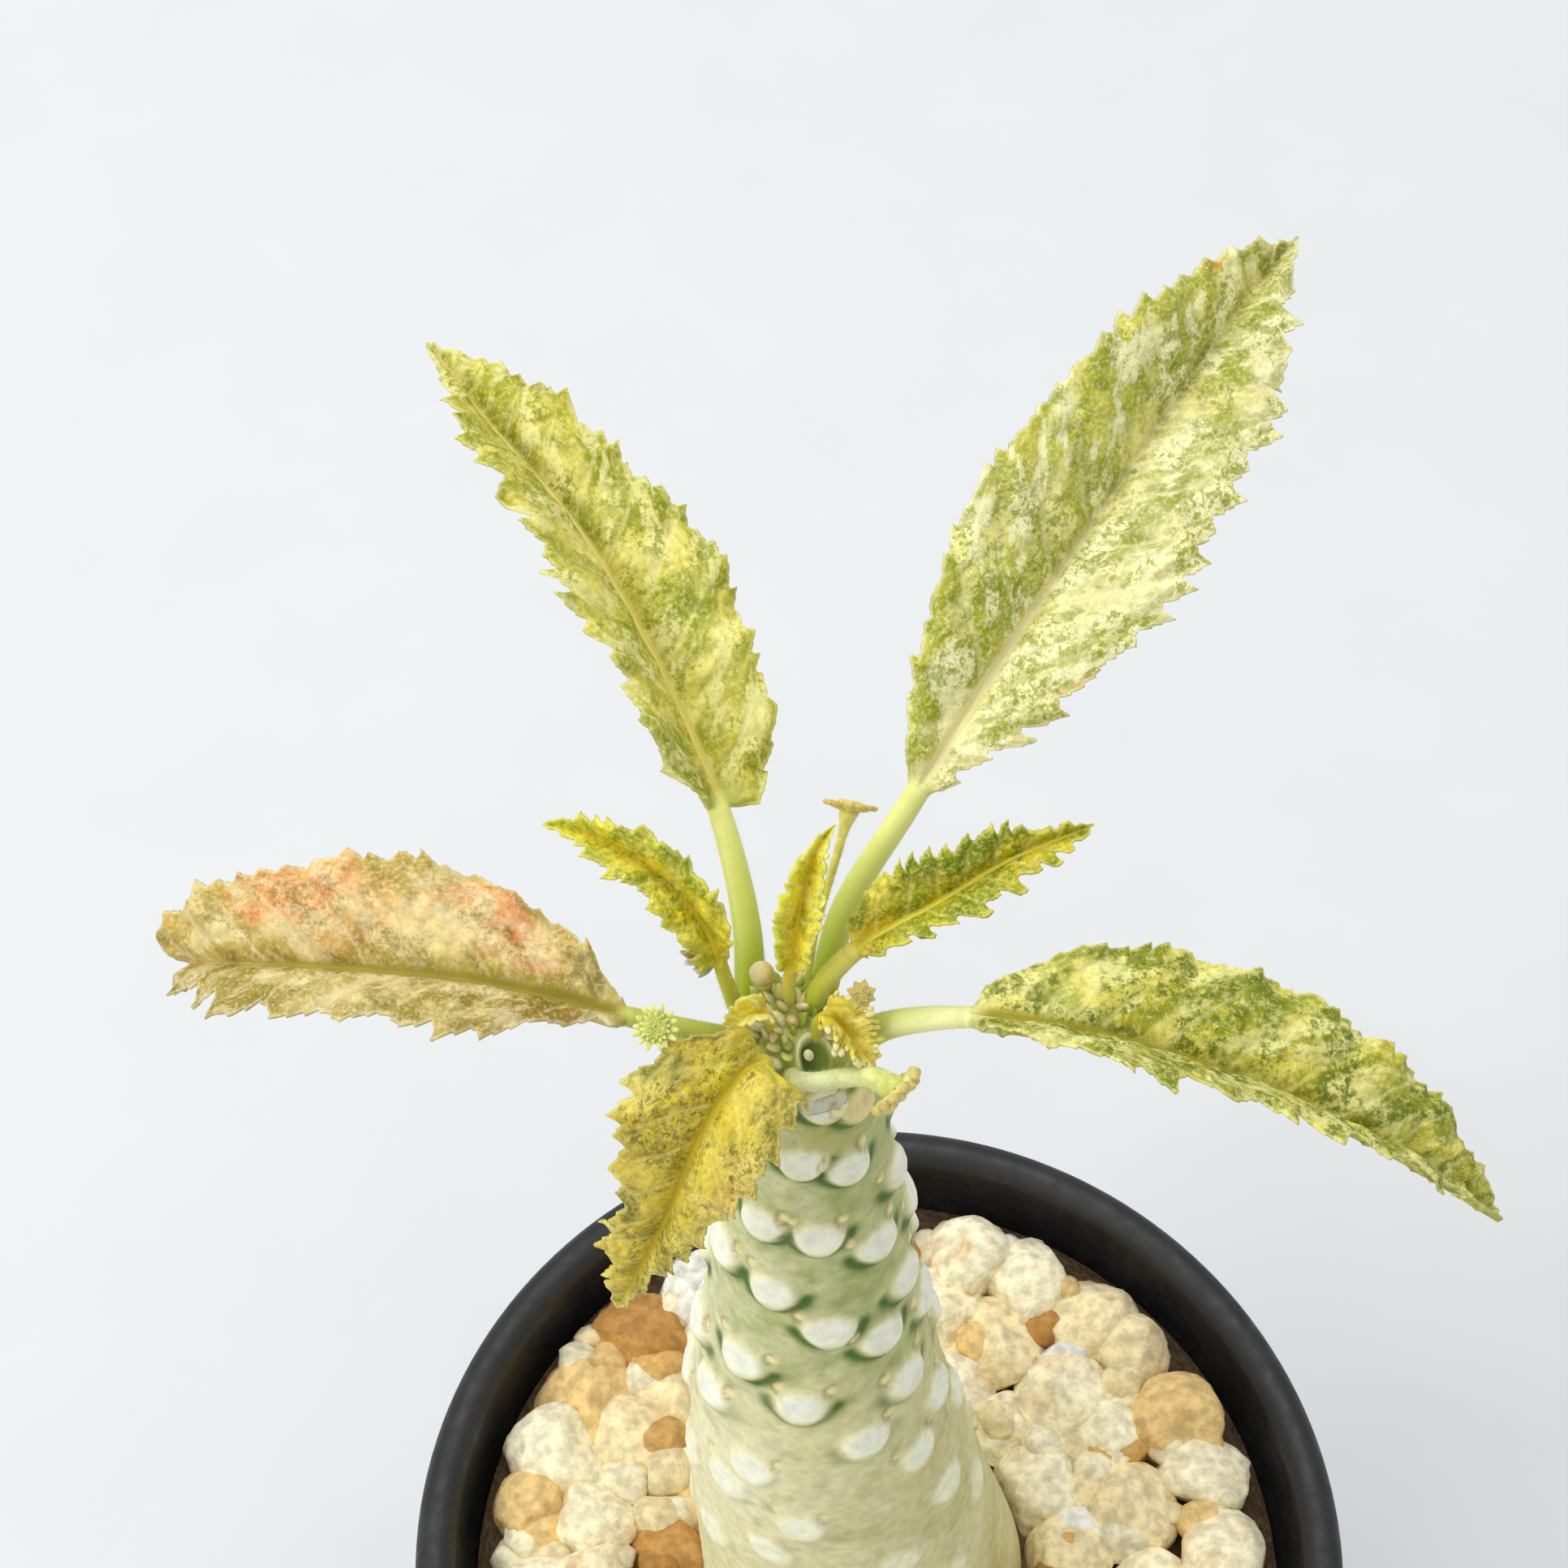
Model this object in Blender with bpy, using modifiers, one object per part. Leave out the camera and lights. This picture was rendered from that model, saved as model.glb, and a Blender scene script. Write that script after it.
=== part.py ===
"""Potted dorstenia: a young caudex plant with variegated leaves in a small black pot.

Blender 4.5, metres, +Z up. The origin is the centre of the pot's foot and the plant's front
faces -Y. Sizes below are written in millimetres and turned into metres by MM.
"""
import math
import random

import bmesh
import bpy
import numpy as np
from mathutils import Vector

MM = 0.001
GAP = 0.3                      # clearance between neighbouring pieces
MERGE = 0.00001                # merge distance of the turned shapes, in metres

# Pot
POT_RIM_RADIUS = 45.0
POT_HEIGHT = 78.0
POT_FOOT_RADIUS = 32.0
POT_SHOULDER_RADIUS = 40.2     # outer wall just under the rim's skirt
POT_WALL = 1.3
POT_FLOOR = 2.2
SKIRT_HEIGHT = 9.0
RIM_BEAD = 3.2                 # height of the rounded lip
LIP_WIDTH = 3.9
SKIRT_INSET = 1.3              # how far the skirt lies inside the lip
POT_SIDES = 44
DRAIN_COUNT = 6
DRAIN_RADIUS = 3.2
DRAIN_CIRCLE = 19.0
FOOT_RECESS = (12.0, 27.0, 1.0)  # inner radius, outer radius and depth of the ring recess

# Gravel
BED_TOP = 70.0
BED_SIDES = 40
GRAIN_RADIUS = (4.3, 5.6)
GRAIN_PITCH = 7.6
GRAIN_RINGS = 3
GRAIN_SEED = 11

# Trunk: height, x of the axis and radius, from the buried foot to the rounded crown
TRUNK_LINE = [(50.0, -1.4, 14.6), (54.0, -1.4, 15.6), (72.0, -1.4, 15.6), (84.0, -3.0, 14.3),
              (97.0, -4.5, 13.1), (115.0, -6.2, 11.1), (131.5, -6.8, 9.0), (146.5, -7.0, 7.4),
              (160.0, -7.2, 5.9), (168.0, -7.6, 5.2), (173.0, -8.1, 4.85), (175.3, -8.4, 4.2),
              (176.8, -8.5, 3.3), (177.7, -8.5, 2.1), (178.0, -8.5, 0.9)]
TRUNK_SIDES = 26
TRUNK_STEP = 6.0               # height between rings

# Raised leaf scars. The front ones are given by height and compass direction in degrees; the
# others follow the leaf spiral down the trunk wherever there is room.
SCARS_FRONT = [(173.2, -69), (171.5, -42), (166.4, -94), (164.7, -60), (156.7, -125), (156.4, -85),
               (148.4, -157), (148.1, -114), (143.2, -81), (139.2, -50), (135.4, -130),
               (131.6, -96), (126.1, -149), (124.7, -66), (118.9, -121), (117.3, -40), (111.1, -99)]
SCAR_TOP, SCAR_LOW = 172.0, 92.0
SCAR_COUNT = 75
SCAR_ROOM = 4.9                # least distance between two scars
SCAR_RADIUS = 2.1
SCAR_YOUNG = 135.0             # scars shrink from here up to the crown
SCAR_SIDES = 6
SCAR_RISE = 0.75
SCAR_ROOT = 1.6                # depth that a scar's cushion is sunk below the skin
SCAR_FLARE = (1.25, 0.75)      # share of the radius at a cushion's root and at its face
SCAR_TILT = 22.0               # degrees that a scar faces upward
GOLDEN_ANGLE = math.radians(137.508)

# Scale leaves fused to the crown
SCALE_CENTRE = (-8.5, -1.5, 177.3)
SCALE_SPREAD = (0.9, 1.3)
SCALE_COUNT = 8
SCALE_SIZE = (0.55, 0.12, 2.3)  # root radius, tip radius and length
SCALE_LEAN = 0.5
SCALE_SEED = 4

# Leaves. path: foot, stalk, blade and tip points. base: share of the path where the blade
# starts. stalk: radius at the foot and at the blade. width: reach of the left and of the right
# half from blade base to tip, out to the teeth. heading: compass direction of the leaf.
# roll: turn about the midrib. fold: rise of each half. The angles are in degrees.
LEAVES = {
    "leaf_back_left": dict(
        path=[(-11.6, 3.5, 176.3), (-11.7, 5.2, 178.7), (-13.1, 10.5, 183.5), (-16.9, 18.8, 188.6),
              (-23.8, 30.3, 193.6), (-31.1, 39.2, 196.0), (-35.0, 44.9, 197.0)],
        heading=122, base=0.23, stalk=(1.1, 0.8),
        width=((1.6, 6.3, 6.9, 7.5, 6.5, 5.4, 5.5, 3.0, 0.4),
               (1.6, 6.2, 6.9, 7.7, 6.6, 5.5, 5.2, 3.3, 0.4)),
        roll=(-14, -16, -9, -11, -15),
        fold=32, teeth=16, tooth=1.2, wave=0.5, lobe=0.6),
    "leaf_back_right": dict(
        path=[(-6.2, 4.1, 176.3), (-5.4, 6.0, 179.7), (-0.3, 12.2, 186.1), (8.1, 23.0, 193.6),
              (15.4, 32.8, 198.3), (23.2, 43.6, 202.2), (27.5, 49.0, 203.5)],
        heading=54, base=0.23, stalk=(1.05, 0.85),
        width=((1.2, 5.0, 7.4, 9.1, 9.2, 8.6, 6.9, 4.1, 0.4),
               (1.2, 4.7, 7.3, 8.7, 8.6, 7.9, 7.4, 3.8, 0.4)),
        roll=(-15, -16, -23, -32, -8),
        fold=24, teeth=17, tooth=1.3, wave=0.45, lobe=0.4),
    "leaf_right": dict(
        path=[(-3.5, -0.7, 175.9), (-2.7, -1.1, 177.5), (2.8, -2.2, 180.9), (9.0, -3.4, 181.5),
              (19.9, -5.9, 180.0), (31.3, -8.9, 175.5), (40.7, -11.2, 168.8)],
        heading=-12, base=0.175, stalk=(1.1, 0.75),
        width=((1.2, 5.1, 6.9, 7.3, 7.3, 6.5, 5.3, 3.2, 0.4),
               (1.2, 5.2, 6.8, 6.8, 6.4, 5.4, 3.4, 2.0, 0.4)),
        roll=(8, 8, 9, 11, 14),
        fold=35, teeth=14, tooth=1.3, wave=0.4, lobe=0.3),
    "leaf_left": dict(
        path=[(-13.1, -0.95, 175.7), (-14.8, -2.0, 178.3), (-20.2, -2.5, 181.7), (-29.1, -1.5, 184.1),
              (-40.3, 0.5, 183.0), (-48.2, 3.0, 179.4), (-51.4, 5.4, 175.4), (-50.8, 7.0, 171.8)],
        heading=188, base=0.185, stalk=(0.95, 0.7),
        width=((0.6, 4.0, 6.8, 6.0, 6.1, 5.4, 3.6, 2.3, 0.4),
               (0.6, 4.7, 6.8, 8.1, 7.9, 6.8, 6.0, 3.6, 0.4)),
        roll=(8, 8, 5, 5, 5),
        fold=28, teeth=14, tooth=1.5, wave=0.5, lobe=0.5),
    "leaf_front": dict(
        path=[(-10.6, -3.95, 176.4), (-10.7, -4.7, 178.9), (-11.7, -5.7, 180.2), (-13.1, -7.4, 179.7),
              (-15.2, -9.9, 176.7), (-16.6, -11.5, 172.9), (-19.2, -12.6, 164.4),
              (-21.4, -12.5, 156.9)],
        heading=-140, base=0.09, stalk=(0.75, 0.7),
        width=((4.4, 5.6, 6.0, 4.6, 3.3, 2.3, 1.7, 1.0, 0.4),
               (1.2, 6.0, 6.3, 4.9, 3.9, 3.6, 2.9, 2.2, 0.4)),
        roll=(20, 18, 26, 12, 5),
        fold=22, teeth=11, tooth=1.3, wave=0.5, lobe=0.9),
    "leaf_young_left": dict(
        path=[(-12.6, 1.2, 176.7), (-13.2, 1.4, 179.7), (-14.7, 2.7, 185.0), (-19.1, 5.5, 188.6),
              (-23.7, 7.4, 189.6), (-25.5, 8.0, 189.2)],
        heading=150, base=0.22, stalk=(0.6, 0.5),
        width=((1.6, 2.2, 2.6, 2.9, 2.5, 2.7, 1.9, 0.9, 0.35),
               (0.6, 1.8, 3.0, 3.0, 2.9, 2.8, 2.0, 1.0, 0.35)),
        roll=(62, 42, 27, 32, 25),
        fold=40, teeth=8, tooth=1.2, wave=0.4, lobe=0.2),
    "leaf_young_centre": dict(
        path=[(-8.9, 0.9, 178.5), (-8.8, 1.2, 181.0), (-8.5, 2.0, 184.0), (-7.9, 3.4, 187.8),
              (-6.7, 5.4, 191.0), (-5.9, 6.0, 191.8)],
        heading=60, base=0.19, stalk=(0.5, 0.45),
        width=((0.9, 1.6, 2.0, 2.3, 2.4, 2.1, 1.8, 1.0, 0.35),
               (0.9, 1.6, 2.0, 2.2, 2.2, 1.9, 1.6, 1.1, 0.35)),
        roll=(-30, -22, -24, -27, -15),
        fold=45, teeth=7, tooth=0.8, wave=0.2, lobe=0.0),
    "leaf_young_right": dict(
        path=[(-7.2, 0.6, 178.4), (-6.3, 1.1, 180.4), (-4.4, 1.9, 182.8), (0.9, 3.5, 186.1),
              (5.7, 5.4, 188.5), (11.6, 7.5, 189.8)],
        heading=18, base=0.22, stalk=(0.8, 0.7),
        width=((0.8, 3.2, 4.1, 4.1, 3.7, 3.3, 2.5, 1.2, 0.35),
               (1.2, 2.8, 3.1, 3.4, 3.5, 3.0, 2.3, 1.2, 0.35)),
        roll=(-28, -8, -25, -26, -38),
        fold=38, teeth=9, tooth=1.3, wave=0.4, lobe=0.4),
    "leaf_crisp": dict(
        path=[(-6.9, -1.5, 177.9), (-6.5, -1.5, 179.7), (-5.5, -1.7, 181.0), (-4.4, -2.5, 180.1),
              (-3.4, -3.6, 179.3), (-2.7, -4.2, 178.9)],
        heading=-35, base=0.3, stalk=(0.45, 0.4),
        width=((0.9, 1.7, 2.2, 2.3, 2.1, 1.9, 1.5, 1.0, 0.35),
               (0.9, 1.7, 2.2, 2.3, 2.1, 1.9, 1.5, 1.0, 0.35)),
        roll=(0, 0, 0, 0, 0),
        fold=30, teeth=6, tooth=0.6, wave=0.4, lobe=0.3),
    "leaf_curl": dict(
        path=[(-10.1, -1.3, 178.1), (-10.3, -1.5, 179.4), (-11.2, -1.75, 180.7),
              (-12.2, -2.1, 180.4), (-12.9, -2.5, 179.4)],
        heading=200, base=0.3, stalk=(0.45, 0.4),
        width=((0.9, 1.2, 1.4, 1.4, 1.3, 1.2, 1.0, 0.8, 0.35),
               (0.9, 1.2, 1.4, 1.4, 1.3, 1.2, 1.0, 0.8, 0.35)),
        roll=(0, 0, 0, 0, 0),
        fold=35, teeth=4, tooth=0.4, wave=0.2, lobe=0.0),
}
BLADE = 0.62                   # thickness of a blade
GROOVE = 0.12                  # depth of the channel over the midrib
ARCH = 0.22                    # bulge of each half between midrib and margin
TOOTH_SKEW = 0.55              # forward lean of a tooth, as a share of its length
STALK_RINGS = 5
RING_ANGLES = (165, 130, 90, 50, 15, -15, -50, -90, -130, -165)
TOOTH_SEED = 5

# Flower heads. path: stalk from its foot to the head's underside; the head faces along the
# last stretch. radius and lobes give the head's outline.
BLOOMS = {
    "bloom_back": dict(path=[(-7.6, 2.3, 177.85), (-7.0, 4.0, 182.2), (-5.7, 6.4, 187.4),
                             (-4.8, 8.3, 190.4)],
                       stalk=0.38, radius=1.7, lobes=8, facing=(0.15, 0.8, 0.58), thick=0.9),
    "bloom_right": dict(path=[(-4.6, 1.3, 176.4), (-4.0, 1.3, 178.0), (-3.9, 0.6, 179.2)],
                        stalk=0.32, radius=1.1, lobes=8, facing=(0.1, -0.56, 0.82), thick=0.6),
    "bloom_left": dict(path=[(-11.8, -2.3, 176.3), (-13.6, -3.3, 177.6), (-16.4, -3.8, 180.2),
                             (-17.9, -4.3, 182.4), (-17.7, -4.9, 184.2)],
                       stalk=0.35, radius=1.55, lobes=12, facing=(-0.12, -0.5, 0.85), thick=0.7),
    "bloom_front": dict(path=[(-8.4, -4.5, 176.4), (-7.3, -5.3, 177.5), (-5.4, -5.3, 178.0),
                              (-3.2, -5.4, 178.3), (-1.7, -5.9, 177.6)],
                        stalk=0.78, radius=2.05, lobes=9, facing=(0.7, -0.57, -0.4), thick=1.0),
}
BUD = dict(path=[(-10.5, 1.7, 177.85), (-10.7, 2.0, 178.9)], stalk=0.4, radius=0.95,
           centre=(-10.8, 2.1, 179.9))

# Colours: red, green, blue, roughness
COLOURS = {
    "pot_black": (0.012, 0.012, 0.013, 0.5), "pumice_cream": (0.66, 0.58, 0.42, 0.9),
    "trunk_skin": (0.62, 0.66, 0.48, 0.6), "leaf_lime": (0.60, 0.62, 0.22, 0.55),
    "leaf_salmon": (0.68, 0.50, 0.27, 0.55), "leaf_golden": (0.60, 0.52, 0.08, 0.55),
    "bloom_cream": (0.68, 0.62, 0.28, 0.6),
}


def clear_scene():
    for old in list(bpy.data.objects):
        bpy.data.objects.remove(old, do_unlink=True)


def make_collection(name):
    group = bpy.data.collections.new(name)
    bpy.context.scene.collection.children.link(group)
    return group


def make_material(name):
    red, green, blue, roughness = COLOURS[name]
    material = bpy.data.materials.new(name)
    material.use_nodes = True
    shader = material.node_tree.nodes["Principled BSDF"]
    shader.inputs["Base Color"].default_value = (red, green, blue, 1.0)
    shader.inputs["Roughness"].default_value = roughness
    shader.inputs["Metallic"].default_value = 0.0
    return material


def add_object(name, mesh, group, parent=None, at=(0.0, 0.0, 0.0), material=None):
    piece = bpy.data.objects.new(name, mesh)
    piece.location = Vector(at) * MM
    piece.parent = parent
    group.objects.link(piece)
    if material is not None:
        mesh.materials.append(material)
    return piece


def mesh_from(name, points, faces):
    """A mesh from points in millimetres."""
    mesh = bpy.data.meshes.new(name)
    mesh.from_pydata([tuple(float(c) * MM for c in p) for p in points], [], faces)
    mesh.update()
    return mesh


def lathe(name, profile, sides, group):
    """A turned solid: the profile runs in the XZ plane, down the outer side."""
    edges = [(i, i + 1) for i in range(len(profile) - 1)]
    mesh = bpy.data.meshes.new(name)
    mesh.from_pydata([(r * MM, 0.0, z * MM) for r, z in profile], edges, [])
    piece = add_object(name, mesh, group)
    screw = piece.modifiers.new("Turn", "SCREW")
    screw.steps = sides
    screw.render_steps = sides
    screw.use_merge_vertices = True
    screw.merge_threshold = MERGE
    return piece


def apply_modifiers(piece):
    """Replace the object's mesh with its evaluated mesh."""
    bpy.context.view_layer.update()
    graph = bpy.context.evaluated_depsgraph_get()
    mesh = bpy.data.meshes.new_from_object(piece.evaluated_get(graph))
    piece.modifiers.clear()
    piece.data = mesh


def add_boolean(piece, operation, collection=None, cutter=None):
    modifier = piece.modifiers.new("Join" if operation == "UNION" else "Cut", "BOOLEAN")
    modifier.operation = operation
    if collection is not None:
        modifier.operand_type = "COLLECTION"
        modifier.collection = collection
    else:
        modifier.object = cutter
    return modifier


def hide_cutter(cutter):
    cutter.hide_render = True
    cutter.display_type = "WIRE"


def smooth(piece, degrees=35.0):
    piece.data.shade_smooth()
    piece.data.set_sharp_from_angle(angle=math.radians(degrees))


def through(values, at, share):
    """Read a smooth curve through values, placed at the shares in at."""
    values = np.asarray(values, float)
    slopes = np.gradient(values, at, axis=0)
    i = min(int(np.searchsorted(at, share, side="right")) - 1, len(at) - 2)
    span = at[i + 1] - at[i]
    t = (share - at[i]) / span
    return ((2 * t**3 - 3 * t**2 + 1) * values[i] + (t**3 - 2 * t**2 + t) * span * slopes[i]
            + (3 * t**2 - 2 * t**3) * values[i + 1] + (t**3 - t**2) * span * slopes[i + 1])


def path_shares(path):
    steps = np.linalg.norm(np.diff(np.asarray(path, float), axis=0), axis=1)
    return np.r_[0.0, np.cumsum(steps)] / steps.sum()


def unit(vector):
    return vector / np.linalg.norm(vector)


def path_frame(path, at, share, heading=0.0, roll=0.0):
    """Point, tangent, side and normal on a path; before the roll the side is square to heading."""
    point = through(path, at, share)
    ahead = through(path, at, min(share + 0.005, 1.0))
    behind = through(path, at, max(share - 0.005, 0.0))
    tangent = unit(ahead - behind)
    level = np.array([math.sin(math.radians(heading)), -math.cos(math.radians(heading)), 0.0])
    side = unit(level - level.dot(tangent) * tangent)
    normal = np.cross(side, tangent)
    turn = math.radians(roll)
    return (point, tangent, math.cos(turn) * side + math.sin(turn) * normal,
            math.cos(turn) * normal - math.sin(turn) * side)


def pot(group, cutters, parent):
    """Nursery pot: tapered wall, skirt under a rounded lip, foot ring and drain holes."""
    skirt_foot = POT_HEIGHT - SKIRT_HEIGHT
    skirt_out = POT_RIM_RADIUS - SKIRT_INSET
    lip_in = POT_RIM_RADIUS - LIP_WIDTH
    bead_low = POT_HEIGHT - RIM_BEAD
    recess_in, recess_out, recess_deep = FOOT_RECESS
    profile = [(0.0, POT_FLOOR), (POT_FOOT_RADIUS - POT_WALL - 1.0, POT_FLOOR),
               (POT_FOOT_RADIUS - POT_WALL, POT_FLOOR + 1.0),
               (POT_SHOULDER_RADIUS - POT_WALL, skirt_foot - 1.0),
               (lip_in - 0.3, skirt_foot + 1.5), (lip_in, bead_low), (lip_in + 0.5, POT_HEIGHT - 0.8),
               (lip_in + 1.3, POT_HEIGHT - 0.1), (lip_in + 2.2, POT_HEIGHT),
               (POT_RIM_RADIUS - 0.8, POT_HEIGHT - 0.3), (POT_RIM_RADIUS - 0.15, POT_HEIGHT - 1.0),
               (POT_RIM_RADIUS, POT_HEIGHT - 1.8), (POT_RIM_RADIUS - 0.3, bead_low),
               (skirt_out, bead_low - 0.6), (skirt_out - 0.6, skirt_foot),
               (POT_SHOULDER_RADIUS, skirt_foot - 0.6), (POT_FOOT_RADIUS + 0.2, 1.2),
               (POT_FOOT_RADIUS - 0.8, 0.0), (recess_out, 0.0), (recess_out - 0.4, recess_deep),
               (recess_in + 0.4, recess_deep), (recess_in, 0.0), (0.0, 0.0)]
    piece = lathe("pot", profile, POT_SIDES, group)
    piece.parent = parent
    drains = bmesh.new()
    for k in range(DRAIN_COUNT):
        turn = 2.0 * math.pi * (k + 0.5) / DRAIN_COUNT
        hole = bmesh.ops.create_cone(drains, cap_ends=True, segments=12, radius1=DRAIN_RADIUS * MM,
                                     radius2=DRAIN_RADIUS * MM, depth=4.0 * POT_FLOOR * MM)
        spot = Vector((DRAIN_CIRCLE * math.cos(turn), DRAIN_CIRCLE * math.sin(turn), 0.0)) * MM
        bmesh.ops.translate(drains, verts=hole["verts"], vec=spot)
    mesh = bpy.data.meshes.new("drain_holes")
    drains.to_mesh(mesh)
    drains.free()
    cutter = add_object("drain_holes", mesh, cutters)
    hide_cutter(cutter)
    add_boolean(piece, "DIFFERENCE", cutter=cutter)
    apply_modifiers(piece)
    piece.data.materials.append(make_material("pot_black"))
    smooth(piece)


def trunk_section(height):
    """Axis x and radius of the trunk at a height."""
    heights, shifts, radii = zip(*TRUNK_LINE)
    return float(np.interp(height, heights, shifts)), float(np.interp(height, heights, radii))


def grain_spots(edge):
    """Jittered rings of grain centres between the trunk and the pot wall."""
    draw = random.Random(GRAIN_SEED)
    axis, foot = trunk_section(BED_TOP)
    middle = sum(GRAIN_RADIUS) / 2
    spots = []
    for ring in range(GRAIN_RINGS):
        share = ring / (GRAIN_RINGS - 1)
        near, far = foot + 0.8 * middle, edge - middle
        reach = near + (far - near) * share
        count = round(2.0 * math.pi * reach / GRAIN_PITCH)
        for k in range(count):
            radius = draw.uniform(*GRAIN_RADIUS)
            turn = 2.0 * math.pi * (k + draw.uniform(-0.2, 0.2) + 0.5 * ring) / count
            out = min(reach + draw.uniform(-0.8, 0.8), edge - 2 * GAP - 1.08 * radius)
            shift = axis * (1.0 - share)
            spots.append((shift + out * math.cos(turn), out * math.sin(turn), radius))
    return spots


def grain_mesh(name, radius, draw):
    shape = bmesh.new()
    bmesh.ops.create_icosphere(shape, subdivisions=1, radius=radius * MM)
    stretch = (draw.uniform(0.85, 1.08), draw.uniform(0.85, 1.08), draw.uniform(0.65, 0.95))
    for vert in shape.verts:
        rough = draw.uniform(0.86, 1.0)
        vert.co = Vector(c * s * rough for c, s in zip(vert.co, stretch))
    mesh = bpy.data.meshes.new(name)
    shape.to_mesh(mesh)
    shape.free()
    return mesh


def gravel(group, parent):
    """The pot's fill, with a plain hole for the trunk's foot and loose grains fused on top."""
    skirt_foot = POT_HEIGHT - SKIRT_HEIGHT
    wall_low = POT_FOOT_RADIUS - POT_WALL - GAP
    wall_high = POT_SHOULDER_RADIUS - POT_WALL - GAP
    hole_foot = TRUNK_LINE[0][0] - GAP
    axis, foot = trunk_section(BED_TOP)
    bed_edge = wall_high + 1.0
    profile = [(0.0, BED_TOP), (bed_edge, BED_TOP), (wall_high - 0.3, skirt_foot - 1.6),
               (wall_low, POT_FLOOR + GAP + 1.4), (wall_low - 1.4, POT_FLOOR + GAP),
               (0.0, POT_FLOOR + GAP)]
    piece = lathe("gravel", profile, BED_SIDES, group)
    piece.parent = parent
    apply_modifiers(piece)

    draw = random.Random(GRAIN_SEED + 1)
    grains = make_collection("grains")
    for k, (x, y, radius) in enumerate(grain_spots(bed_edge)):
        grain = add_object(f"grain_{k}", grain_mesh(f"grain_{k}", radius, draw), grains,
                           at=(x, y, BED_TOP + draw.uniform(-0.6, 0.8)))
        grain.rotation_euler = (draw.uniform(-0.6, 0.6), draw.uniform(-0.6, 0.6),
                                draw.uniform(0.0, 2.0 * math.pi))
    add_boolean(piece, "UNION", collection=grains)
    bpy.ops.mesh.primitive_cone_add(vertices=TRUNK_SIDES, radius1=(foot + 1.5 * GAP) * MM,
                                    radius2=(foot + 1.5 * GAP) * MM, depth=40.0 * MM,
                                    location=(axis * MM, 0.0, (hole_foot + 20.0) * MM))
    cutter = bpy.context.object
    cutter.name = "trunk_hole"
    hide_cutter(cutter)
    add_boolean(piece, "DIFFERENCE", cutter=cutter)
    apply_modifiers(piece)
    for grain in list(grains.objects):
        bpy.data.objects.remove(grain, do_unlink=True)
    bpy.data.collections.remove(grains)
    bpy.data.objects.remove(cutter, do_unlink=True)
    piece.data.materials.append(make_material("pumice_cream"))
    piece.data.shade_flat()


def scar_spots():
    """Height and direction of every leaf scar, the measured ones first."""
    spots = [(level, math.radians(turn)) for level, turn in SCARS_FRONT]
    for k in range(SCAR_COUNT):
        level = SCAR_TOP - (SCAR_TOP - SCAR_LOW) * k / (SCAR_COUNT - 1)
        turn = k * GOLDEN_ANGLE
        _, radius = trunk_section(level)
        near = []
        for other, compass in spots:
            around = (turn - compass + math.pi) % (2.0 * math.pi) - math.pi
            near.append(math.hypot(around * radius, level - other))
        if min(near) > SCAR_ROOM:
            spots.append((level, turn))
    return spots


def frustum(name, radius, tip, depth, sides):
    """A closed cone or cone stump centred on the origin along Z."""
    shape = bmesh.new()
    bmesh.ops.create_cone(shape, cap_ends=True, segments=sides, radius1=radius * MM,
                          radius2=tip * MM, depth=depth * MM)
    mesh = bpy.data.meshes.new(name)
    shape.to_mesh(mesh)
    shape.free()
    return mesh


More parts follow.
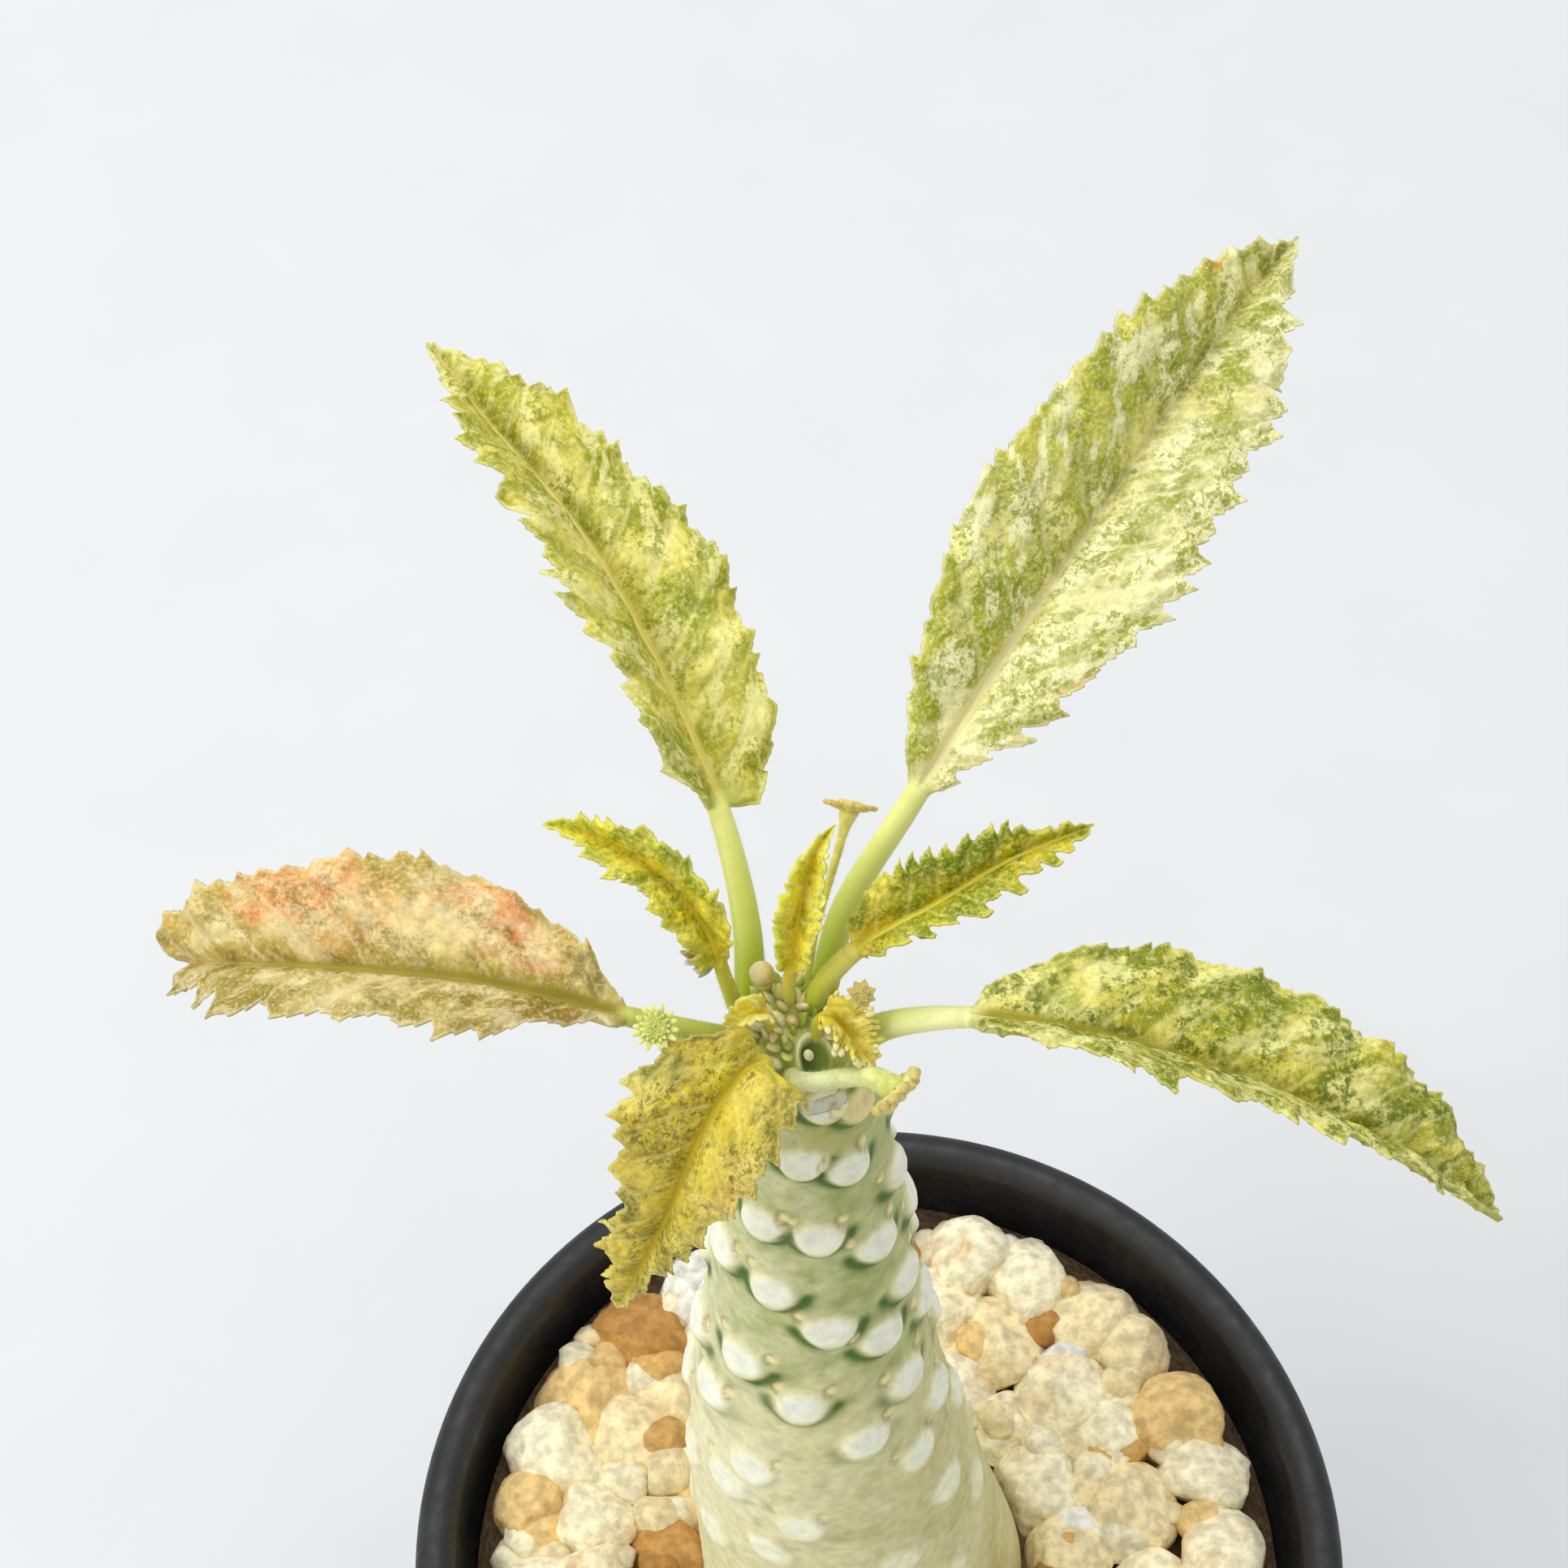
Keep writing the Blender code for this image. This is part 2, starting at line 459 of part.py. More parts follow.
def trunk(group, parent):
    """Tapering, slightly leaning stem with raised scars, and scale leaves at its crown."""
    levels = [TRUNK_LINE[0][0]]
    while levels[-1] + TRUNK_STEP < SCAR_TOP:
        levels.append(levels[-1] + TRUNK_STEP)
    levels += [z for z, _, _ in TRUNK_LINE if z > levels[-1] + 1.0]
    points = []
    for level in levels:
        axis, radius = trunk_section(level)
        for k in range(TRUNK_SIDES):
            turn = 2.0 * math.pi * k / TRUNK_SIDES
            points.append((axis + radius * math.cos(turn), radius * math.sin(turn), level))
    faces = []
    for row in range(len(levels) - 1):
        low, high = row * TRUNK_SIDES, (row + 1) * TRUNK_SIDES
        for k in range(TRUNK_SIDES):
            n = (k + 1) % TRUNK_SIDES
            faces += [(low + k, low + n, high + n), (low + k, high + n, high + k)]
    faces.append(tuple(reversed(range(TRUNK_SIDES))))
    faces.append(tuple(range(len(points) - TRUNK_SIDES, len(points))))
    piece = add_object("trunk", mesh_from("trunk", points, faces), group, parent)

    lumps = make_collection("trunk_lumps")
    for k, (level, turn) in enumerate(scar_spots()):
        axis, radius = trunk_section(level)
        size = SCAR_RADIUS * float(np.interp(level, (SCAR_YOUNG, SCAR_TOP), (1.0, 0.74)))
        depth = SCAR_RISE + SCAR_ROOT
        out = radius + SCAR_RISE - 0.5 * depth
        shape = frustum(f"scar_{k}", size * SCAR_FLARE[0], size * SCAR_FLARE[1], depth, SCAR_SIDES)
        scar = add_object(f"scar_{k}", shape, lumps,
                          at=(axis + out * math.cos(turn), out * math.sin(turn), level))
        scar.rotation_euler = (0.0, math.radians(90.0 - SCAR_TILT), turn)
    draw = random.Random(SCALE_SEED)
    for k in range(SCALE_COUNT):
        across, along = draw.uniform(-1.0, 1.0), draw.uniform(-1.0, 1.0)
        spot = (SCALE_CENTRE[0] + across * SCALE_SPREAD[0],
                SCALE_CENTRE[1] + along * SCALE_SPREAD[1], SCALE_CENTRE[2] + draw.uniform(0.1, 0.8))
        scale = add_object(f"scale_{k}", frustum(f"scale_{k}", *SCALE_SIZE, 5), lumps, at=spot)
        scale.rotation_euler = (-SCALE_LEAN * along, SCALE_LEAN * across, draw.uniform(0.0, 3.0))
    add_boolean(piece, "UNION", collection=lumps)
    apply_modifiers(piece)
    for lump in list(lumps.objects):
        bpy.data.objects.remove(lump, do_unlink=True)
    bpy.data.collections.remove(lumps)
    piece.data.materials.append(make_material("trunk_skin"))
    smooth(piece, 30.0)


def blade_section(half, fold, keel, lift):
    """Ten points of a folded blade: five on top from left to right, five below coming back."""
    slope = math.radians(fold)
    top, low = [], []
    for across in (-1.0, -0.5, 0.0, 0.5, 1.0):
        reach = abs(across)
        sign = math.copysign(1.0, across)
        side = across * half[across > 0] * math.cos(slope)
        rise = reach * half[across > 0] * math.sin(slope)
        rise += ARCH * half[across > 0] * reach * (1.0 - reach) * 2.0
        rise += lift[across > 0] * reach**2
        if reach == 0.0:
            top.append((0.0, -GROOVE))
            low.append((0.0, -GROOVE - BLADE / math.cos(slope) - keel))
        else:
            top.append((side, rise))
            low.append((side + sign * math.sin(slope) * BLADE, rise - math.cos(slope) * BLADE))
    return top + low[::-1]


def stitch(rings):
    """Closed skin over rings of ten points, split alike above and below."""
    size = len(RING_ANGLES)
    faces = []
    for row in range(rings - 1):
        for k in range(size):
            n = (k + 1) % size
            a, b = row * size + k, row * size + n
            c, d = (row + 1) * size + n, (row + 1) * size + k
            if k in (2, 3, 7, 8):
                faces += [(a, b, c), (a, c, d)]
            else:
                faces += [(a, b, d), (b, c, d)]
    last = (rings - 1) * size
    for k in range(4):
        faces.append((k, size - 1 - k, size - 2 - k, k + 1))
        faces.append((last + k, last + k + 1, last + size - 2 - k, last + size - 1 - k))
    return faces


def leaf(name, shape, group, parent, material, draw):
    """Stalk and toothed blade as one loft along the midrib."""
    path, at = shape["path"], path_shares(shape["path"])
    knots = np.linspace(0.0, 1.0, len(shape["width"][0]))
    turns = np.linspace(0.0, 1.0, len(shape["roll"]))
    foot_radius, neck_radius = shape["stalk"]
    foot = np.asarray(path[0])
    points = []
    for k in range(STALK_RINGS):
        share = shape["base"] * k / (STALK_RINGS - 1)
        point, _, side, normal = path_frame(path, at, share, shape["heading"], shape["roll"][0])
        radius = foot_radius + (neck_radius - foot_radius) * k / (STALK_RINGS - 1)
        for angle in RING_ANGLES:
            turn = math.radians(angle)
            points.append(point + radius * (math.cos(turn) * side + math.sin(turn) * normal) - foot)
    count = 2 * shape["teeth"]
    for k in range(1, count + 1):
        u = k / count
        share = shape["base"] + (1.0 - shape["base"]) * u
        roll = float(np.interp(u, turns, shape["roll"]))
        point, tangent, side, normal = path_frame(path, at, share, shape["heading"], roll)
        is_tip = k % 2 == 1
        half, lift, lean = [], [], []
        for flank in (0, 1):
            reach = float(through(shape["width"][flank], knots, u))
            cut = min(shape["tooth"], 0.45 * reach)
            bite = cut * draw.uniform(0.75, 1.15)
            half.append(max(reach if is_tip else reach - bite, 0.3))
            phase = 2.0 * math.pi * (k / 5.3 + 0.37 * flank)
            lift.append(shape["wave"] * math.sin(phase) * min(1.0, reach / 3.0))
            lobe = -shape["lobe"] * max(0.0, 1.0 - 6.0 * u)
            lean.append(lobe + (bite * TOOTH_SKEW if is_tip else 0.0))
        keel = neck_radius * (1.0 - u) ** 1.3
        section = blade_section(half, shape["fold"], keel, lift)
        for index, (out, up) in enumerate(section):
            column = index if index < 5 else 9 - index
            forward = lean[column > 2] if column in (0, 4) else 0.0
            points.append(point + out * side + up * normal + forward * tangent - foot)
    mesh = mesh_from(name, points, stitch(STALK_RINGS + count))
    piece = add_object(name, mesh, group, parent, at=foot, material=material)
    smooth(piece, 40.0)


def turned_frame(normal):
    side = unit(np.cross(normal, (0.31, 0.2, 0.93)))
    return side, np.cross(normal, side)


def loft_round(name, rings, group, parent, material, foot):
    """Closed loft over equal rings of points, with a flat cap at each end."""
    size = len(rings[0])
    points = [p - foot for ring in rings for p in ring]
    faces = []
    for row in range(len(rings) - 1):
        for k in range(size):
            n = (k + 1) % size
            faces.append((row * size + k, row * size + n, (row + 1) * size + n, (row + 1) * size + k))
    faces.append(tuple(reversed(range(size))))
    faces.append(tuple(range(len(points) - size, len(points))))
    piece = add_object(name, mesh_from(name, points, faces), group, parent, foot, material)
    smooth(piece, 40.0)


def ring_at(centre, normal, radius, size, lobes=0, depth=0.0):
    side, other = turned_frame(normal)
    ring = []
    for k in range(size):
        turn = 2.0 * math.pi * k / size
        out = radius * (1.0 + depth * math.cos(lobes * turn))
        ring.append(centre + out * (math.cos(turn) * side + math.sin(turn) * other))
    return ring


def stalk_rings(path, radius, size, facing, count=5):
    """Rings up a stalk that turn smoothly to face along the head's axis."""
    at = path_shares(path)
    rings = []
    for k in range(count):
        share = k / (count - 1)
        point, tangent, _, _ = path_frame(path, at, share)
        blend = share**2
        rings.append(ring_at(point, unit(tangent * (1.0 - blend) + facing * blend), radius, size))
    return rings


def bloom(name, shape, group, parent, material):
    """Flat lobed flower head on its stalk."""
    facing = unit(np.asarray(shape["facing"]))
    size = 2 * shape["lobes"]
    rings = stalk_rings(shape["path"], shape["stalk"], size, facing)
    top = np.asarray(shape["path"][-1])
    radius, thick = shape["radius"], shape["thick"]
    head = [(0.55, 0.35, 0.0), (0.95, 0.5, 0.13), (1.0, 0.85, 0.14), (0.8, 1.15, 0.08),
            (0.35, 1.0, 0.0)]
    for reach, rise, depth in head:
        rings.append(ring_at(top + facing * rise * thick, facing, radius * reach, size,
                             shape["lobes"], depth))
    loft_round(name, rings, group, parent, material, np.asarray(shape["path"][0]))


def bud(group, parent, material):
    """Round closed bud on a short stalk."""
    facing = unit(np.asarray(BUD["centre"]) - np.asarray(BUD["path"][0]))
    size = 10
    rings = stalk_rings(BUD["path"], BUD["stalk"], size, facing, count=3)
    for k in range(1, 7):
        turn = math.pi * k / 7 * 0.86 + 0.44
        centre = np.asarray(BUD["centre"]) - facing * BUD["radius"] * math.cos(turn)
        rings.append(ring_at(centre, facing, BUD["radius"] * math.sin(turn), size))
    loft_round("bloom_bud", rings, group, parent, material, np.asarray(BUD["path"][0]))


def build():
    clear_scene()
    group = make_collection("potted_dorstenia")
    cutters = make_collection("cutters")
    root = bpy.data.objects.new("potted_dorstenia_root", None)
    group.objects.link(root)
    pot(group, cutters, root)
    gravel(group, root)
    trunk(group, root)
    green = make_material("leaf_lime")
    salmon = make_material("leaf_salmon")
    golden = make_material("leaf_golden")
    cream = make_material("bloom_cream")
    own = {"leaf_back_left": green, "leaf_back_right": green, "leaf_right": green,
           "leaf_left": salmon}
    draw = random.Random(TOOTH_SEED)
    for name, shape in LEAVES.items():
        leaf(name, shape, group, root, own.get(name, golden), draw)
    for name, shape in BLOOMS.items():
        bloom(name, shape, group, root, cream)
    bud(group, root, cream)


build()
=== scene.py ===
"""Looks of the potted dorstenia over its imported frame: fine leaves, trunk, gravel, pot and
flower heads with their materials, and a pale floor under soft light. Sizes are in millimetres."""

import itertools
import math
import random

import bmesh
import bpy
import numpy as np
from mathutils import Matrix, Vector


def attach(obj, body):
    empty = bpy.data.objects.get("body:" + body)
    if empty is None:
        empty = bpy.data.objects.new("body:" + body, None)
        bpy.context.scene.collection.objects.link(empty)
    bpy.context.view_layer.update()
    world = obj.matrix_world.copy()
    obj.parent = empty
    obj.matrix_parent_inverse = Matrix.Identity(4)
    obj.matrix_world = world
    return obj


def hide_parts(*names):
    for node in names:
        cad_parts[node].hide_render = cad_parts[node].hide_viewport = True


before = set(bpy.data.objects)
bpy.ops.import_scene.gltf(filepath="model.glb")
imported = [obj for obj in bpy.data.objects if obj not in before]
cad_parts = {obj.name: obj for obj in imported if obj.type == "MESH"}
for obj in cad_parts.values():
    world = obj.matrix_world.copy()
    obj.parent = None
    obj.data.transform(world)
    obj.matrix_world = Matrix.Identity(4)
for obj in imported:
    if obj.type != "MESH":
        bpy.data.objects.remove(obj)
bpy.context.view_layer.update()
MM = 0.001

# Camera
CAMERA_AT = (-9.21, -103.32, 353.26)
CAMERA_TILT = 34.934
CAMERA_LENS = 67.5

# Shapes shared with the solids: see the names of the frame's nodes
POT_RIM_RADIUS, POT_HEIGHT, POT_FOOT_RADIUS = 45.0, 78.0, 32.0
POT_SHOULDER_RADIUS, POT_WALL, POT_FLOOR = 40.2, 1.3, 2.2
SKIRT_HEIGHT, RIM_BEAD, LIP_WIDTH, SKIRT_INSET = 9.0, 3.2, 3.9, 1.3
DRAIN_COUNT, DRAIN_RADIUS, DRAIN_CIRCLE = 6, 3.2, 19.0
FOOT_RECESS = (12.0, 27.0, 1.0)
BED_TOP = 70.0
GRAIN_RADIUS, GRAIN_PITCH, GRAIN_RINGS, GRAIN_SEED = (4.3, 5.6), 7.6, 3, 11
SMALL_GRAINS, CROWN_SCALES = 230, 64
LEAF_HAIRS, BLOOM_HAIRS = 45, 70  # hairs on each millimetre of stalk
TRUNK_LINE = [(50.0, -1.4, 14.6), (54.0, -1.4, 15.6), (72.0, -1.4, 15.6), (84.0, -3.0, 14.3),
              (97.0, -4.5, 13.1), (115.0, -6.2, 11.1), (131.5, -6.8, 9.0), (146.5, -7.0, 7.4),
              (160.0, -7.2, 5.9), (168.0, -7.6, 5.2), (173.0, -8.1, 4.85), (175.3, -8.4, 4.2),
              (176.8, -8.5, 3.3), (177.7, -8.5, 2.1), (178.0, -8.5, 0.9)]
# Height and turn of each scar that the photo shows, worked out from its place in the photo
SCARS_FRONT = [(173.2, -69), (171.5, -42), (166.4, -94), (164.7, -60), (156.7, -125), (156.4, -85),
               (148.4, -157), (148.1, -114), (143.2, -81), (139.2, -50), (135.4, -130),
               (131.6, -96), (126.1, -149), (124.7, -66), (118.9, -121), (117.3, -40), (111.1, -99)]
SCAR_TOP, SCAR_LOW, SCAR_COUNT, SCAR_ROOM = 172.0, 92.0, 75, 4.9
SCAR_RADIUS, SCAR_YOUNG, SCAR_RISE = 2.1, 135.0, 0.75
GOLD_SCAR = (171.5, -42)
TRUNK_AROUND, DOME_START, DOME_ROWS = 240, 174.0, 46
GOLDEN_ANGLE = math.radians(137.508)
ARCH_AT, ARCH_TURN, ARCH_SIZE = (-7.0, -3.1, 176.6), -64.0, (1.25, 1.75)
BLADE, GROOVE, ARCH = 0.62, 0.12, 0.22

LEAVES = {
    "leaf_back_left": dict(
        path=[(-11.6, 3.5, 176.3), (-11.7, 5.2, 178.7), (-13.1, 10.5, 183.5), (-16.9, 18.8, 188.6),
              (-23.8, 30.3, 193.6), (-31.1, 39.2, 196.0), (-35.0, 44.9, 197.0)],
        heading=122, base=0.23, stalk=(1.1, 0.8),
        width=((1.6, 6.3, 6.9, 7.5, 6.5, 5.4, 5.5, 3.0, 0.4),
               (1.6, 6.2, 6.9, 7.7, 6.6, 5.5, 5.2, 3.3, 0.4)),
        roll=(-14, -16, -9, -11, -15),
        fold=32, wave=0.5, lobe=(0.8, 2.6)),
    "leaf_back_right": dict(
        path=[(-6.2, 4.1, 176.3), (-5.4, 6.0, 179.7), (-0.3, 12.2, 186.1), (8.1, 23.0, 193.6),
              (15.4, 32.8, 198.3), (23.2, 43.6, 202.2), (27.5, 49.0, 203.5)],
        heading=54, base=0.23, stalk=(1.05, 0.85),
        width=((1.2, 5.0, 7.4, 9.1, 9.2, 8.6, 6.9, 4.1, 0.4),
               (1.2, 4.7, 7.3, 8.7, 8.6, 7.9, 7.4, 3.8, 0.4)),
        roll=(-15, -16, -23, -32, -8),
        fold=24, wave=0.45, lobe=(0.4, 0.4)),
    "leaf_right": dict(
        path=[(-3.5, -0.7, 175.9), (-2.7, -1.1, 177.5), (2.8, -2.2, 180.9), (9.0, -3.4, 181.5),
              (19.9, -5.9, 180.0), (31.3, -8.9, 175.5), (40.7, -11.2, 168.8)],
        heading=-12, base=0.175, stalk=(1.1, 0.75),
        width=((1.2, 5.1, 6.9, 7.3, 7.3, 6.5, 5.3, 3.2, 0.4),
               (1.2, 5.2, 6.8, 6.8, 6.4, 5.4, 3.4, 2.0, 0.4)),
        roll=(8, 8, 9, 11, 14),
        fold=35, wave=0.4, lobe=(0.3, 0.3)),
    "leaf_left": dict(
        path=[(-13.1, -0.95, 175.7), (-14.8, -2.0, 178.3), (-20.2, -2.5, 181.7), (-29.1, -1.5, 184.1),
              (-40.3, 0.5, 183.0), (-48.2, 3.0, 179.4), (-51.4, 5.4, 175.4), (-50.8, 7.0, 171.8)],
        heading=188, base=0.185, stalk=(0.95, 0.7),
        width=((0.6, 4.0, 6.8, 6.0, 6.1, 5.4, 3.6, 2.3, 0.4),
               (0.6, 4.7, 6.8, 8.1, 7.9, 6.8, 6.0, 3.6, 0.4)),
        roll=(8, 8, 5, 5, 5),
        fold=28, wave=0.5, lobe=(0.5, 0.5)),
    "leaf_front": dict(
        path=[(-10.6, -3.95, 176.4), (-10.7, -4.7, 178.9), (-11.7, -5.7, 180.2), (-13.1, -7.4, 179.7),
              (-15.2, -9.9, 176.7), (-16.6, -11.5, 172.9), (-19.2, -12.6, 164.4),
              (-21.4, -12.5, 156.9)],
        heading=-140, base=0.09, stalk=(0.75, 0.7),
        width=((4.4, 5.6, 6.0, 4.6, 3.3, 2.3, 1.7, 1.0, 0.4),
               (1.2, 6.0, 6.3, 4.9, 3.9, 3.6, 2.9, 2.2, 0.4)),
        roll=(20, 18, 26, 12, 5),
        fold=22, wave=0.5, lobe=(0.9, 0.9)),
    "leaf_young_left": dict(
        path=[(-12.6, 1.2, 176.7), (-13.2, 1.4, 179.7), (-14.7, 2.7, 185.0), (-19.1, 5.5, 188.6),
              (-23.7, 7.4, 189.6), (-25.5, 8.0, 189.2)],
        heading=150, base=0.22, stalk=(0.6, 0.5),
        width=((1.6, 2.2, 2.6, 2.9, 2.5, 2.7, 1.9, 0.9, 0.35),
               (0.6, 1.8, 3.0, 3.0, 2.9, 2.8, 2.0, 1.0, 0.35)),
        roll=(62, 42, 27, 32, 25),
        fold=40, wave=0.4, lobe=(0.2, 0.2)),
    "leaf_young_centre": dict(
        path=[(-8.9, 0.9, 178.5), (-8.8, 1.2, 181.0), (-8.5, 2.0, 184.0), (-7.9, 3.4, 187.8),
              (-6.7, 5.4, 191.0), (-5.9, 6.0, 191.8)],
        heading=60, base=0.19, stalk=(0.5, 0.45),
        width=((1.35, 1.7, 2.0, 2.3, 2.4, 2.1, 1.7, 0.9, 0.35),
               (1.35, 1.7, 2.0, 2.2, 2.2, 1.9, 1.5, 0.9, 0.35)),
        roll=(-30, -22, -24, -27, -15),
        fold=45, wave=0.2, lobe=(0.0, 0.0)),
    "leaf_young_right": dict(
        path=[(-7.2, 0.6, 178.4), (-6.3, 1.1, 180.4), (-4.4, 1.9, 182.8), (0.9, 3.5, 186.1),
              (5.7, 5.4, 188.5), (11.6, 7.5, 189.8)],
        heading=18, base=0.22, stalk=(0.8, 0.7),
        width=((0.8, 3.2, 4.1, 4.1, 3.7, 3.3, 2.5, 1.2, 0.35),
               (1.2, 2.8, 3.1, 3.4, 3.5, 3.0, 2.3, 1.2, 0.35)),
        roll=(-28, -8, -25, -26, -38),
        fold=38, wave=0.4, lobe=(0.4, 0.4)),
    "leaf_crisp": dict(
        path=[(-7.0, -1.6, 177.8), (-6.8, -1.6, 179.4), (-6.0, -1.9, 180.6), (-4.9, -2.7, 179.8),
              (-3.9, -3.8, 179.0), (-3.1, -4.5, 178.6)],
        heading=-35, base=0.3, stalk=(0.45, 0.4),
        width=((0.9, 1.6, 2.0, 2.1, 1.9, 1.7, 1.3, 0.9, 0.35),
               (0.9, 1.6, 2.0, 2.1, 1.9, 1.7, 1.3, 0.9, 0.35)),
        roll=(0, 0, 0, 0, 0),
        fold=30, wave=0.4, lobe=(0.3, 0.3)),
    "leaf_curl": dict(
        path=[(-10.1, -1.3, 178.1), (-10.3, -1.5, 179.4), (-11.2, -1.75, 180.7),
              (-12.2, -2.1, 180.4), (-12.9, -2.5, 179.4)],
        heading=200, base=0.3, stalk=(0.45, 0.4),
        width=((0.9, 1.2, 1.4, 1.4, 1.3, 1.2, 1.0, 0.8, 0.35),
               (0.9, 1.2, 1.4, 1.4, 1.3, 1.2, 1.0, 0.8, 0.35)),
        roll=(0, 0, 0, 0, 0),
        fold=35, wave=0.2, lobe=(0.0, 0.0)),
}

